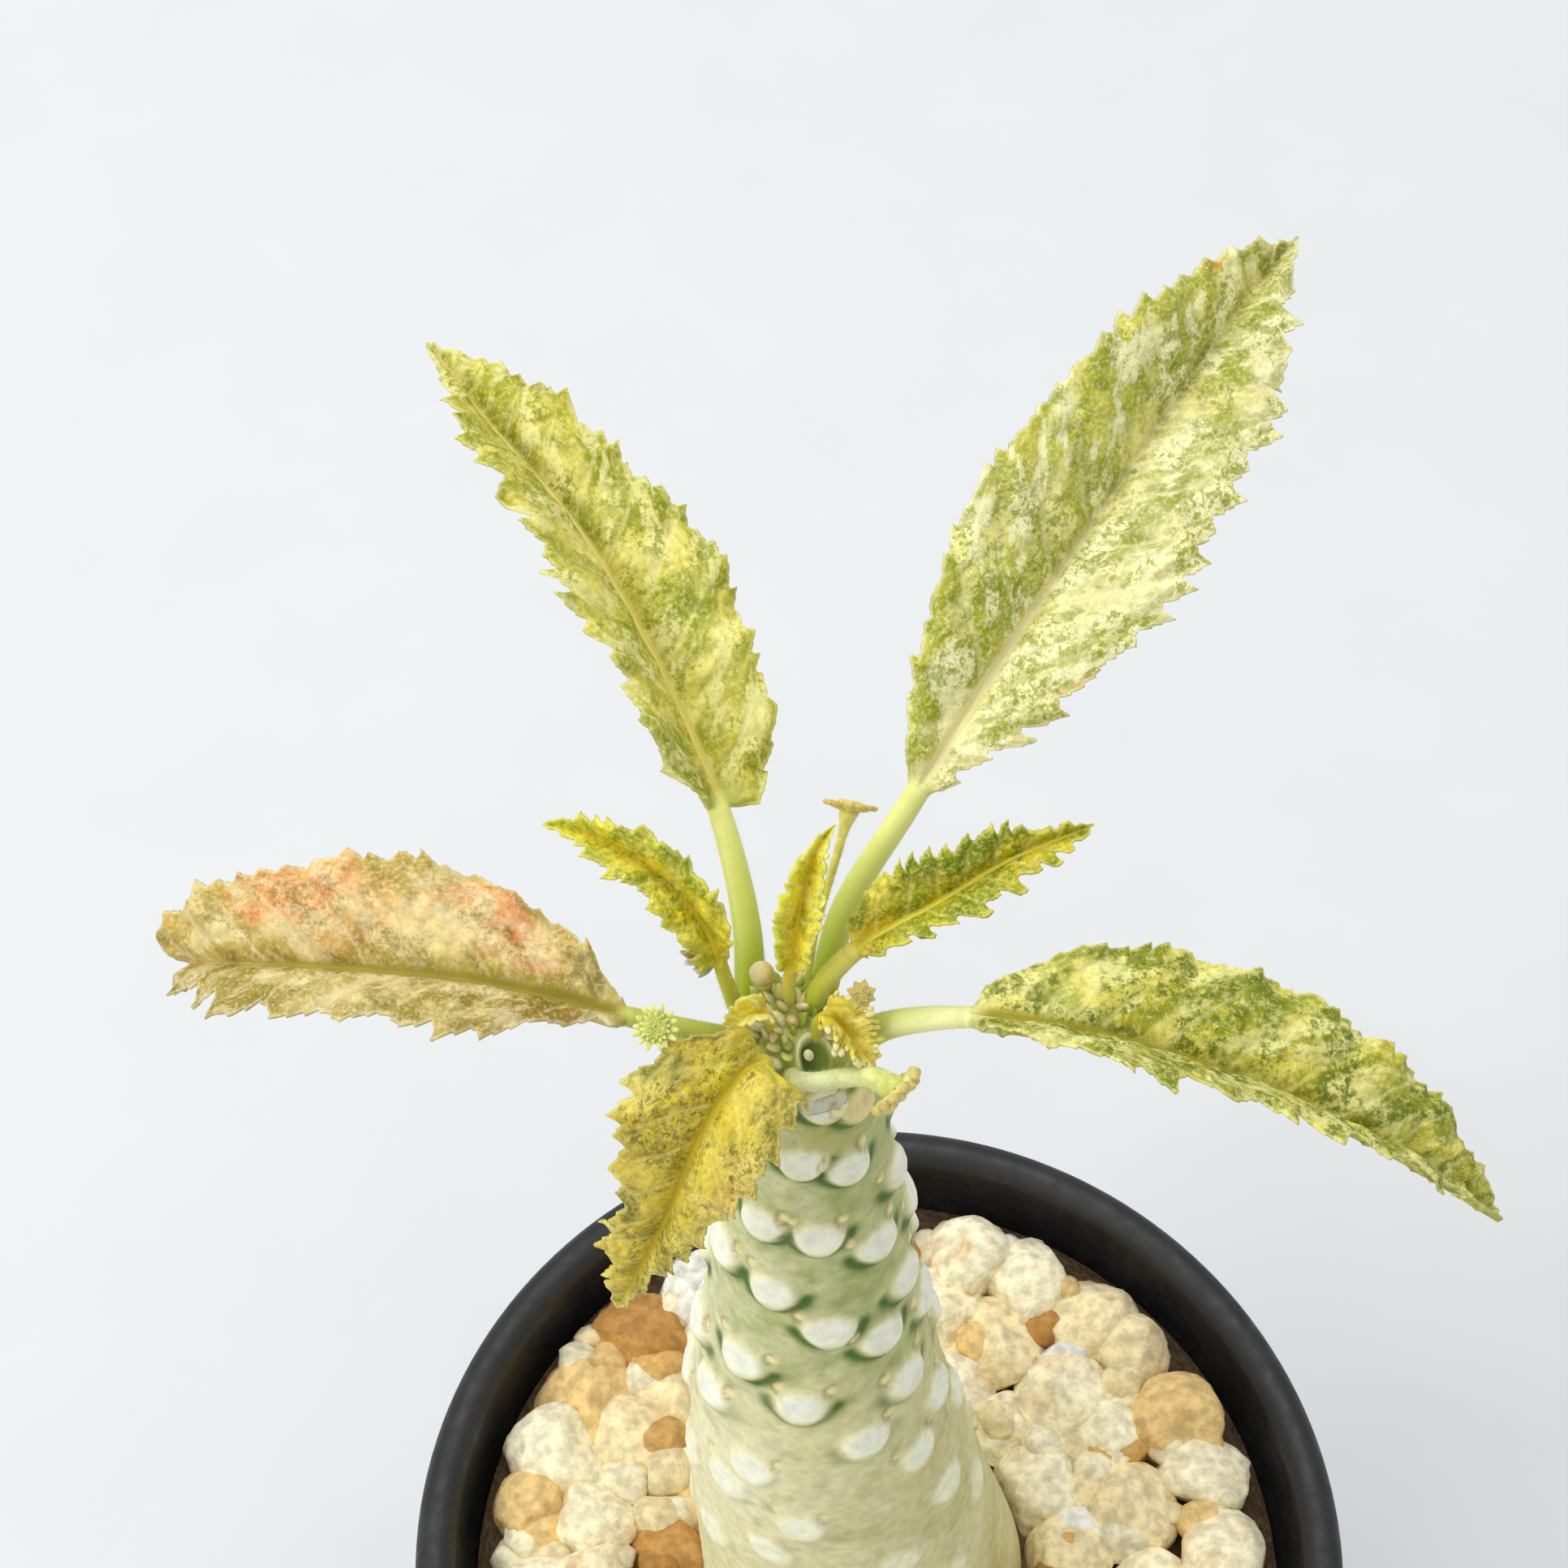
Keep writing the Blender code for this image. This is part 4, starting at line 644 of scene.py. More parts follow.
def tinted_finish(name, roughness=0.6, grain=2.0, fine=8.0, contrast=0.12, depth=0.1, soft=0.1):
    """Skin coloured by its mesh, with mottling and a fine relief at the grain's scale."""
    made = Finish(name)
    place = made.node("ShaderNodeTexCoord").outputs["Object"]
    at = made.scaled(place, (1000.0, 1000.0, 1000.0))
    mottle = made.band(made.noise(at, grain, 4.0), 0.3, 0.7, 1.0 - contrast, 1.0 + contrast)
    shade = made.tree.nodes.new("ShaderNodeVectorMath")
    shade.operation = "SCALE"
    made.link(made.attribute("tint"), shade.inputs[0])
    made.link(mottle, shade.inputs["Scale"])
    made.colour(shade.outputs[0])
    made.roughness(made.band(made.noise(at, fine, 2.0), 0.3, 0.7, roughness - 0.08, roughness + 0.08))
    made.bump(made.noise(at, fine, 4.0), 0.5, depth)
    made.set(Specular_IOR_Level=0.3, Subsurface_Weight=soft, Subsurface_Scale=0.8 * MM)
    made.shader.inputs["Subsurface Radius"].default_value = (1.0, 0.8, 0.4)
    return made.material


def pot_finish():
    """Matt black moulded plastic with a fine grain and faint scuffs."""
    made = Finish("pot_plastic")
    place = made.node("ShaderNodeTexCoord").outputs["Object"]
    at = made.scaled(place, (1000.0, 1000.0, 1000.0))
    scuff = made.band(made.noise(made.scaled(at, (1.0, 1.0, 0.25)), 0.35, 5.0), 0.45, 0.8)
    made.colour(made.mix(scuff, (0.011, 0.011, 0.012), (0.022, 0.022, 0.023)))
    made.roughness(made.band(made.noise(at, 0.6, 4.0), 0.3, 0.7, 0.42, 0.6))
    made.bump(made.noise(at, 5.0, 2.0), 0.25, 0.05)
    made.set(Specular_IOR_Level=0.5)
    return made.material


# Leaves

def margin(shape, look, u, flank, seed):
    """Smooth reach, toothed half width, forward hook and pulled-back lobe of one margin."""
    count, cut, kind = look["teeth"][flank]
    reach = through(shape["width"][flank], np.linspace(0.0, 1.0, 9), u)

    def drift(values, salt):
        flat = np.zeros((len(values), 3))
        flat[:, 0] = values
        flat[:, 1] = salt
        return flat

    t = u * count + 0.42 * noise(drift(u * count * 0.8, 3.7 * seed + 9 * flank), seed)
    number = np.floor(t)
    share = t - number
    chance = [hashed(drift(number, flank).astype(np.int64), seed + salt) for salt in (1, 2, 3)]
    peak = 0.60 + 0.22 * (chance[0] - 0.5)
    climb = np.clip(share / peak, 0.0, 1.0)
    fall = np.clip((1.0 - share) / (1.0 - peak), 0.0, 1.0)
    if kind == 0:
        tooth = np.where(share < peak, climb**0.9, fall**1.3)
    elif kind == 1:
        tooth = np.sin(math.pi * share) ** 0.7
    else:
        tooth = step(0.12, 0.42, share) * step(1.0, 0.74, share) * (0.86 + 0.14 * climb)
    parts = 2.0 + np.round(1.4 * chance[1])
    notches = (parts * climb) % 1.0 * (share < peak) * (climb < 0.999)
    notches = notches + 0.8 * (2.0 * (1.0 - fall) % 1.0) * (share >= peak) * (fall < 0.98)
    deep = np.minimum(cut, 0.45 * reach)
    tall = 0.42 + 0.95 * chance[2]
    half = (reach - deep * (1.0 - tooth * tall)
            + (0.24, 0.10, 0.12)[kind] * deep * notches * (1.0 - 0.45 * tooth))
    along = u * count * 1.4
    half = (half + 0.10 * noise(drift(along * 2.2, 40 + flank), seed)
            + 0.16 * cut * noise(drift(along * 0.3, 50), seed))
    hook = (0.5, 0.3, 0.6)[kind] * deep * tall * tooth**1.5
    if flank == 1 and "notch" in look:
        spot, depth, reach_u = look["notch"]
        half = half - depth * step(1.0, 0.2, np.abs(u - spot) / reach_u)
    lobe = shape["lobe"][flank] * np.maximum(0.0, 1.0 - 6.0 * u)
    taper = 0.3 + 0.7 * step(1.0, 0.95, u)
    return reach, np.maximum(half * taper, 0.12), hook, lobe


def make_leaf(node, shape, look, seed):
    name = node + "_blade"
    across_top, across_low, columns = look["cells"]
    path, at = shape["path"], path_shares(shape["path"])
    length = path_length(path)
    base = shape["base"]
    foot_radius, neck_radius = shape["stalk"]
    u = np.linspace(0.0, 1.0, columns + 1)
    roll = np.interp(u, np.linspace(0.0, 1.0, len(shape["roll"])), shape["roll"])
    point, tangent, side, normal = path_frame(path, at, base + (1.0 - base) * u, shape["heading"], roll)
    flanks = [margin(shape, look, u, flank, seed) for flank in (0, 1)]
    slope = math.radians(shape["fold"])
    pucker = look["pucker"]
    blade_rows = []
    for is_low, across in ((False, np.linspace(-1.0, 1.0, across_top + 1)),
                           (True, np.linspace(1.0, -1.0, across_low + 1))):
        a, along = np.meshgrid(across, u)
        right = a > 0
        reach, half, hook, lobe = (np.where(right, flanks[1][i][:, None], flanks[0][i][:, None])
                                   for i in range(4))
        part, sign = np.abs(a), np.sign(a)
        out = part * half
        ahead = (hook * np.clip((part - 0.72) / 0.28, 0.0, 1.0) ** 1.4
                 - lobe * np.clip((part - 0.5) / 0.5, 0.0, 1.0) ** 1.2)
        x = along * (1.0 - base) * length + ahead
        far_out = np.minimum(out / reach, 1.1)
        phase = 2.0 * math.pi * (x / (0.09 * (1.0 - base) * length + 1.6) + 0.37 * right)
        lift = shape["wave"] * np.sin(phase) * np.minimum(1.0, reach / 3.0)
        rise = out * math.sin(slope) + ARCH * reach * far_out * (1.0 - far_out) * 2.0
        rise = rise + lift * far_out**2 - GROOVE * np.exp(-(out / 0.45) ** 2)
        spot = np.stack([x, sign * out, np.full_like(a, 5.0 * seed)], -1)
        line = (x - 0.62 * out - 0.035 * out**2) / look["vein"] + 0.5 * right
        line = line + 0.10 * noise(spot * 0.5, seed + 9)
        gap = np.abs(line - np.round(line))
        off = gap * look["vein"] * 0.85
        inner = step(0.0, 1.3, out) * (0.35 + 0.65 * step(1.0, 0.8, part))
        swell = np.sin(math.pi * np.clip(gap, 0.0, 0.5)) ** 0.8
        near, _, number = cells(spot / (0.27 * look["vein"]), seed)
        domes = np.clip(1.0 - (near / 0.75) ** 2, 0.0, 1.0)
        fine, _, _ = cells(spot / 0.42, seed + 3)
        warts = np.clip(1.0 - (fine / 0.7) ** 2, 0.0, 1.0)
        small = np.minimum(1.0, reach / 2.5)
        puff = (1.0 * swell + 0.5 * domes + 0.8 * clouds(spot * 0.8, 3, seed)) * pucker * inner * small
        crest = 0.5 * neck_radius * np.exp(-((out / (0.8 * neck_radius)) ** 2)) * (1.0 - along) ** 7
        relief = puff + 0.20 * pucker * warts * inner * small + crest
        ruffle = look["ruffle"] * small * far_out**4 * noise(spot * np.array([1.15, 0.3, 1.0]), seed + 5)
        relief = relief + ruffle
        if is_low:
            thick = BLADE * 0.8 * (1.0 - 0.74 * part**3)
            width = neck_radius * (1.0 - 0.75 * along) + 0.25
            keel = neck_radius * (1.0 - along) ** 1.3 * np.sqrt(np.clip(1.0 - (out / width) ** 2, 0, 1))
            ridge = 0.22 * np.exp(-(off / 0.18) ** 2) * step(1.0, 0.75, part)
            relief = 0.7 * puff + ruffle - thick - ridge * small - keel
        steep = slope * step(0.0, 0.8, out)
        across_mm = sign * (out * math.cos(slope) - relief * np.sin(steep))
        up_mm = rise + relief * np.cos(steep)
        spots = (point[:, None] + across_mm[..., None] * side[:, None] + up_mm[..., None] * normal[:, None]
                 + ahead[..., None] * tangent[:, None])
        width = look["rib_width"] * (1.0 - along) ** 1.4 + 0.10
        fade = step(look["rib_fade"][1], look["rib_fade"][0], along)
        rib = step(1.45, 0.55, out / width) * fade
        rim = step(0.30, 0.05, half - out)
        vein = np.exp(-(off / (0.16 - 0.07 * part)) ** 2) * step(1.0, 0.6, part) * (1.0 - rib)
        flow = np.stack([line * look["vein"], 0.75 * out, 5.0 * seed + 3.0 * right], -1)
        warp = 0.5 * np.stack([noise(spot * 0.9, seed + 71), noise(spot * 0.9, seed + 73), 0 * a], -1)
        _, _, patch = cells((flow + warp) / 1.5, seed + 7)
        blade_rows.append(dict(points=spots, spot=spot, rib=rib, rim=rim, vein=vein, part=part,
                               right=right, u=along, pads=domes, number=number, swell=swell,
                               patch=patch, flow=flow, low=np.full_like(a, float(is_low))))

    def joined(key):
        return np.concatenate([blade_rows[0][key], blade_rows[1][key]], axis=1)

    size = across_top + across_low + 2
    angles = np.radians(np.concatenate([np.linspace(168, 12, across_top + 1),
                                        np.linspace(-12, -168, across_low + 1)]))
    stalk_count = 16 if base * length > 5 else 10
    shares = np.linspace(0.0, base, stalk_count)[:-1]
    stalk_point, _, stalk_side, stalk_normal = path_frame(path, at, shares, shape["heading"],
                                                          np.full(stalk_count - 1, roll[0]))
    radius = np.linspace(foot_radius, neck_radius, stalk_count)[:-1, None, None]
    turn = angles[None, :, None]
    stalk = stalk_point[:, None] + radius * (np.cos(turn) * stalk_side[:, None]
                                             + np.sin(turn) * stalk_normal[:, None])
    start, onward = stalk_point[0], unit(stalk_point[1] - stalk_point[0])
    core = np.array([-8.5, 0.0, start[2] - 2.6])
    deep = core + 0.35 * (start - core) * np.array([1.0, 1.0, 0.0])
    t = np.linspace(0.0, 1.0, 7)[:-1, None]
    bend = start - 0.5 * np.linalg.norm(start - deep) * onward
    line = (1 - t) ** 2 * deep + 2 * t * (1 - t) * bend + t * t * start
    lines = np.gradient(np.vstack([line, start]), axis=0)[:-1]
    roots = []
    for k in range(len(line)):
        along = unit(lines[k])
        side_on = unit(stalk_side[0] - (stalk_side[0] @ along) * along)
        other = np.cross(side_on, along)
        grow = foot_radius * (1.0 + 0.16 * (1.0 - t[k, 0]))
        roots.append(line[k] + grow * (np.cos(angles)[:, None] * side_on + np.sin(angles)[:, None] * other))
    whole_stalk = np.concatenate([np.array(roots), stalk])
    blade = joined("points")
    neck = point[:, None] + neck_radius * (np.cos(turn) * side[:, None] + np.sin(turn) * normal[:, None])
    merge = 1.9 * neck_radius / ((1.0 - base) * length)
    opened = step(0.0, merge, u)[:, None, None]
    rings = np.concatenate([whole_stalk, neck * (1.0 - opened) + blade * opened])
    rows = len(rings)
    extra = rows - len(u)

    def spread(values, fill):
        top = np.full((extra, size) + values.shape[2:], fill, float)
        return np.concatenate([top, values]).reshape(-1, *values.shape[2:])

    points = rings.reshape(-1, 3)
    end = len(points)
    points = np.vstack([points, rings[0].mean(0), rings[-1].mean(0)])
    tris = np.vstack([cap_tris(np.arange(size), end, False),
                      cap_tris(np.arange(end - size, end), end + 1)])
    piece = add_mesh(name, points, loft_quads(rows, size), tris, leaf_finish(name + "_skin", look))

    u_all, right = joined("u"), joined("right")
    part, spot, low = joined("part"), joined("spot"), joined("low")
    a = np.where(right, part, -part)
    wobble = 0.30 * clouds(spot * 0.55, 3, seed + 11)
    tint = np.where(right[..., None], linear(look["tones"][1]), linear(look["tones"][0]))
    middle = np.clip(0.5 + 0.5 * a / 0.25, 0.0, 1.0)[..., None]
    tint = np.where(part[..., None] < 0.25, linear(look["tones"][0]) * (1.0 - middle)
                    + linear(look["tones"][1]) * middle, tint)
    for at_u, at_a, reach_u, reach_a, colour, strength in look["zones"]:
        gap = np.hypot((u_all - at_u) / reach_u, (a - at_a) / reach_a)
        amount = strength * step(1.25, 0.55, gap + 1.6 * wobble)
        tint = tint * (1.0 - amount[..., None]) + linear(colour) * amount[..., None]
    patch = clouds(spot * 0.45, 3, seed + 21)
    tint = tint + (linear(look["dark"]) * 0.9 - tint) * (look["speckle"] * step(0.12, 0.4, patch))[..., None]
    tint = tint + (linear(look["pale"]) - tint) * (0.65 * step(0.12, 0.42, -patch))[..., None]
    if "heart" in look:
        heart, strength = look["heart"]
        inner = strength * step(0.85, 0.35, part + 0.5 * wobble) * step(1.0, 0.75, u_all)
        tint = tint + (linear(heart) - tint) * inner[..., None]
    lot = joined("patch")
    tint = tint + (linear(look["dark"]) - tint) * (0.55 * look["blotch"] * step(0.62, 0.72, lot))[..., None]
    tint = tint + (linear(look["pale"]) - tint) * (0.5 * look["cream"] * step(0.30, 0.22, lot))[..., None]
    # Each pad gets a random tone, and painted shade: paler on the raised domes, darker between them.
    pad_tone_and_shade = 1.0 + 0.14 * (joined("number") - 0.5) + 0.10 * (joined("pads") - 0.6)
    tint = tint * pad_tone_and_shade[..., None]
    under = linear((190, 188, 112))
    tint = tint * (1.0 - 0.55 * low[..., None]) + under * 0.55 * low[..., None]
    tint = np.minimum(tint * np.array(look["lush"]), 0.96)
    foot_tone, neck_tone = (np.minimum(linear(c) * gain, 0.95) for c, gain in zip(
        look["stalk"], (np.array([1.06, 1.14, 0.55]), np.array([1.14, 1.16, 1.25]))))
    climb = np.clip(np.linspace(-0.42, 1.0, extra), 0.0, 1.0)[:, None]
    # Painted highlight: both flanks of the stalk are painted paler, toward the neck's tone.
    edge = 0.45 * np.cos(angles)[None] ** 4 * (0.25 + 0.75 * climb)
    climb = np.clip(climb + edge, 0.0, 1.0)[..., None]
    stalk_tint = foot_tone * (1.0 - climb) + neck_tone * climb
    wing = step(0.0, 2.2 * merge, u_all + 0.9 * merge * part * step(0.0, 0.4 * merge, u_all))[..., None]
    tint = neck_tone * (1.0 - wing) + tint * wing
    tint = np.concatenate([stalk_tint, tint]).reshape(-1, 3)
    soft_base = step(0.0, 1.5 * merge, np.concatenate([np.zeros((extra, size)), u_all]).reshape(-1))
    def padded(values, fill):
        flat = spread(values, fill)
        return np.concatenate([flat, np.repeat(flat[-1:], 2, axis=0)])

    paint(piece, "tint", "FLOAT_COLOR", np.vstack([tint, tint[:1], tint[-1:]]))
    place = np.concatenate([np.zeros((extra, size, 3)), spot])
    place[:extra, :, 0] = np.linspace(-base * length, 0.0, extra)[:, None]
    place[:extra, :, 1] = np.degrees(angles)[None] / 60.0
    place = place.reshape(-1, 3)
    paint(piece, "leaf", "FLOAT_VECTOR", np.vstack([place, place[:1], place[-1:]]))
    flow = np.concatenate([np.zeros((extra, size, 3)), joined("flow")]).reshape(-1, 3)
    paint(piece, "flow", "FLOAT_VECTOR", np.vstack([flow, flow[:1], flow[-1:]]))
    for key, fill in (("rib", 0.0), ("rim", 0.0), ("vein", 0.0)):
        values = padded(joined(key) * (1.0 - 0.6 * low), fill)
        paint(piece, key, "FLOAT", values * np.concatenate([soft_base, [0.0, 1.0]]))
    paint(piece, "blade", "FLOAT", np.concatenate([soft_base, [0.0, 1.0]]))
    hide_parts(node)
    if "beads" in look:
        knobs = Bundle()
        draw = random.Random(seed)
        small = ball(2)
        for flank, column in ((0, 0), (1, across_top)):
            half = flanks[flank][1]
            for k in range(6, columns - 6):
                if half[k] < half[k - 6:k + 7].max() or (half[k] == half[k - 1]):
                    continue
                at_tip = rings[extra + k, column]
                inward = unit(rings[extra + k, column] - rings[extra + k, across_top // 2])
                size = draw.uniform(0.17, 0.26)
                tone = linear(draw.choice(((236, 224, 140), (240, 230, 168), (214, 206, 96))))
                along = unit(inward + 0.4 * tangent[k])
                side_on, other = square_to(along)
                bead(knobs, small, at_tip - 0.3 * size * inward, (along, side_on, other),
                     (1.5 * size, size, 0.9 * size), tone * 0.9, tone)
        beads = knobs.make(node + "_knobs", tinted_finish(name + "_knob", 0.5, 2.0, 9.0, 0.12, 0.05, 0.2))
        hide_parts(node)
    return stalk


# Trunk

def trunk_section(height):
    heights, shifts, radii = zip(*TRUNK_LINE)
    return np.interp(height, heights, shifts), np.interp(height, heights, radii)


def scar_spots():
    """Height and direction of every leaf scar: those of the photo, then the rest on a spiral."""
    spots = [(level, math.radians(turn)) for level, turn in SCARS_FRONT]
    for k in range(SCAR_COUNT):
        level = SCAR_TOP - (SCAR_TOP - SCAR_LOW) * k / (SCAR_COUNT - 1)
        turn = k * GOLDEN_ANGLE
        _, radius = trunk_section(level)
        near = []
        for other, compass in spots:
            around = (turn - compass + math.pi) % (2.0 * math.pi) - math.pi
            near.append(math.hypot(around * radius, level - other))
        if min(near) > SCAR_ROOM:
            spots.append((level, turn))
    return spots


def tip_levels(count):
    """Heights from the dome's start to the tip, evenly spaced along the dome."""
    tip = [(DOME_START, 4.5)] + [(height, radius) for height, _, radius in TRUNK_LINE[10:]]
    heights, radii = (np.array(column) for column in zip(*tip))
    run = np.r_[0.0, np.cumsum(np.hypot(np.diff(heights), np.diff(radii)))]
    return np.interp(np.linspace(0.0, run[-1], count), run, heights)


def arch_frame():
    """Middle, sideways and upward directions of the arched scar on the trunk's tip."""
    turn = math.radians(ARCH_TURN)
    around = np.array([-math.sin(turn), math.cos(turn), 0.0])
    return np.array(ARCH_AT), around, unit(np.array([-1.3 * math.cos(turn), -1.3 * math.sin(turn), 1.0]))


def make_trunk():
    levels = np.concatenate([np.linspace(50.0, 68.0, 7)[:-1], np.linspace(68.0, 120.0, 112)[:-1],
                             np.linspace(120.0, DOME_START, 150)[:-1], tip_levels(DOME_ROWS)])
    fine = np.linspace(48.0, 180.0, 1321)
    axis, radius = trunk_section(fine)
    kernel = np.hanning(31)
    kernel /= kernel.sum()
    keep = step(171.0, 175.0, fine)
    axis = axis * keep + np.convolve(axis, kernel, "same") * (1.0 - keep)
    radius = radius * keep + np.convolve(radius, kernel, "same") * (1.0 - keep)
    turn = 2.0 * math.pi * np.arange(TRUNK_AROUND) / TRUNK_AROUND
    turns, heights = np.meshgrid(turn, levels)
    centre = np.interp(heights, fine, axis)
    skin = np.interp(heights, fine, radius)
    flat = np.stack([np.cos(turns) * skin, np.sin(turns) * skin, heights], -1)
    rise = np.zeros_like(heights)
    face, green_shade_arc, dot, body, golden, shade = (np.zeros_like(heights) for _ in range(6))
    draw = random.Random(GRAIN_SEED)
    for level, compass in scar_spots():
        young = np.interp(level, (SCAR_YOUNG, SCAR_TOP), (1.0, 0.74))
        size = SCAR_RADIUS * young
        _, girth = trunk_section(level)
        around = ((turns - compass + math.pi) % (2.0 * math.pi) - math.pi) * girth / size
        above = (heights - level) / size
        around = around + 0.12 * above * draw.uniform(-1.0, 1.0)
        stretch = draw.uniform(0.9, 1.1)
        oval = np.hypot(around / (0.92 * stretch), above / 0.72)
        cushion = np.hypot(around / 1.28, (above + 0.28) / (1.35 + 0.35 * step(0.0, -1.5, above)))
        worn = float(step(92.0, 128.0, np.array(level)))
        height = SCAR_RISE * (0.45 + 0.55 * worn) * 1.25
        dome = height * step(1.05, 0.35, cushion)
        plate = height * (0.74 - 0.50 * above) - 0.03 * (1.0 - np.minimum(oval, 1.0) ** 2)
        inside = step(1.25, 0.80, oval)
        lump = dome * (1.0 - inside) + plate * inside
        rise = np.maximum(rise, lump)
        body = np.maximum(body, step(1.15, 0.6, cushion))
        fresh = step(1.30, 0.70, oval) * (0.55 + 0.45 * worn)
        face = np.maximum(face, fresh)
        if (level, compass) == (GOLD_SCAR[0], math.radians(GOLD_SCAR[1])):
            golden = np.maximum(golden, fresh)
        # Dark green arc under each scar: partly the green bark, partly painted shade under the cushion.
        smile = np.exp(-((np.hypot(around / 1.42, (above + 0.12) / 1.42) - 1.0) / 0.24) ** 2)
        green_shade_arc = np.maximum(green_shade_arc, smile * step(0.25, -0.45, above) * step(118.0, 138.0, level))
        for shift in (draw.uniform(0.95, 1.2), -draw.uniform(0.95, 1.2)):
            present = worn * (draw.random() < 0.7)
            pip = np.hypot((around - shift) / 0.27, (above - 0.8) / 0.30)
            rise = rise + 0.22 * present * step(1.1, 0.3, pip)
            dot = np.maximum(dot, present * step(1.2, 0.6, pip))
            # Painted shadow: a brown crescent on one side of each cream dot.
            shade = np.maximum(shade, present * np.exp(-((pip - 1.4) / 0.35) ** 2) * (around < shift))
    wrinkles = 0.10 * clouds(flat * np.array([0.5, 0.5, 0.9]), 3, 31)
    fine_skin = 0.035 * noise(flat * 2.2, 33)
    settle = step(70.0, 80.0, heights) * step(178.2, 176.5, heights)
    rise = (rise + (wrinkles + fine_skin) * (1.0 - 0.6 * face)) * settle
    dome = step(173.0, 177.6, heights)
    tilt = unit(np.stack([np.cos(turns) * (1.0 - 0.8 * dome), np.sin(turns) * (1.0 - 0.8 * dome),
                          0.15 + 0.85 * dome], -1))
    points = np.stack([centre + np.cos(turns) * skin, np.sin(turns) * skin, heights], -1)
    middle, sideways, upward = arch_frame()
    across, along = (points - middle) @ sideways, (points - middle) @ upward
    near = np.linalg.norm(points - middle, axis=-1) < 3.5
    ring = np.hypot(across / ARCH_SIZE[0], along / ARCH_SIZE[1])
    arch_rim = near * np.exp(-((ring - 1.0) / 0.14) ** 2) * step(-0.5, 0.1, along)
    arch_gap = near * step(0.95, 0.72, ring) * step(-1.2, -0.6, along)
    rise = rise * (1.0 - step(1.5, 1.15, ring) * near) + 0.42 * arch_rim - 0.30 * arch_gap
    points = points + rise[..., None] * tilt
    rows = len(levels)
    points = points.reshape(-1, 3)
    end = len(points)
    points = np.vstack([points, (TRUNK_LINE[0][1], 0.0, 50.0), (-8.5, 0.0, 178.1)])
    tris = np.vstack([cap_tris(np.arange(TRUNK_AROUND), end, False),
                      cap_tris(np.arange(end - TRUNK_AROUND, end), end + 1)])
    finish = tinted_finish("trunk_skin", 0.5, 0.9, 4.0, 0.10, 0.10, 0.22)
    piece = add_mesh("trunk_bark", points, loft_quads(rows, TRUNK_AROUND), tris, finish)

    broad = clouds(flat * 0.16, 3, 41)
    blotch = clouds(flat * 0.45, 3, 43)
    fleck = clouds(flat * 1.3, 3, 47)
    # Painted light, partly: 1 on the trunk's left side, toward the soft_left lamp, and 0 on the right.
    lit_left = 0.5 - 0.5 * np.cos(turns - math.radians(15.0))
    up = step(112.0, 146.0, heights + 5.0 * broad)

    def blend(base, colour, amount):
        return base + (linear(colour) - base) * np.clip(amount, 0.0, 1.0)[..., None]

    tint = np.broadcast_to(linear((202, 198, 146)), heights.shape + (3,))
    # The left side is painted paler and less green: partly painted light, partly the skin's own paler tone.
    tint = blend(tint, (238, 234, 208), 0.25 + 0.65 * lit_left + 0.5 * broad)
    tint = blend(tint, (190, 194, 136), up * (0.60 - 0.35 * lit_left + 0.5 * blotch))
    tint = blend(tint, (168, 160, 100), step(0.15, 0.55, blotch) * 0.35)
    tint = blend(tint, (150, 158, 104), 0.35 * up * step(0.1, 0.5, fleck))
    tint = blend(tint, (234, 230, 198), 0.80 * body * (0.4 + 0.6 * up))
    tint = blend(tint, (214, 190, 96), 0.6 * step(164.0, 171.0, heights + 3.0 * blotch)
                 * step(0.1, 0.8, np.cos(turns - math.radians(-30.0))))
    valley = (1.0 - body) * step(124.0, 142.0, heights + 6.0 * broad)
    tint = blend(tint, (150, 168, 96), 0.50 * valley * (0.8 + 0.8 * blotch))
    # Painted shade, partly: the dark green arcs under the scars, on top of the green bark.
    tint = blend(tint, (70, 108, 18), green_shade_arc * (1.15 + 0.5 * blotch) * (1.0 - face))
    tip = step(173.4, 175.2, heights + 0.6 * blotch)
    tint = blend(tint, (146, 158, 74), 0.8 * tip * (1.0 - face))
    tint = blend(tint, (196, 200, 116), 0.7 * tip * step(-0.1, 0.3, fleck))
    tint = blend(tint, (255, 253, 238), 0.97 * face)
    tint = blend(tint, (224, 200, 112), 0.7 * golden)
    # Painted shadow beside the cream dots.
    tint = blend(tint, (150, 124, 70), 0.6 * shade)
    tint = blend(tint, (240, 228, 178), 0.95 * dot)
    lit = step(-0.6, 0.9, across / ARCH_SIZE[0] - 0.4 * along / ARCH_SIZE[1])[..., None]
    inner = linear((58, 88, 34)) * (1.0 - lit) + linear((138, 152, 62)) * lit
    tint = tint + (inner - tint) * (0.95 * arch_gap)[..., None]
    tint = blend(tint, (224, 228, 200), 0.95 * arch_rim)
    tint = np.minimum(tint * np.array([1.06, 1.04, 0.86]) + 0.06 * face[..., None], 0.96).reshape(-1, 3)
    paint(piece, "tint", "FLOAT_COLOR", np.vstack([tint, tint[:1], tint[-1:]]))
    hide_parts("trunk")


# Gravel

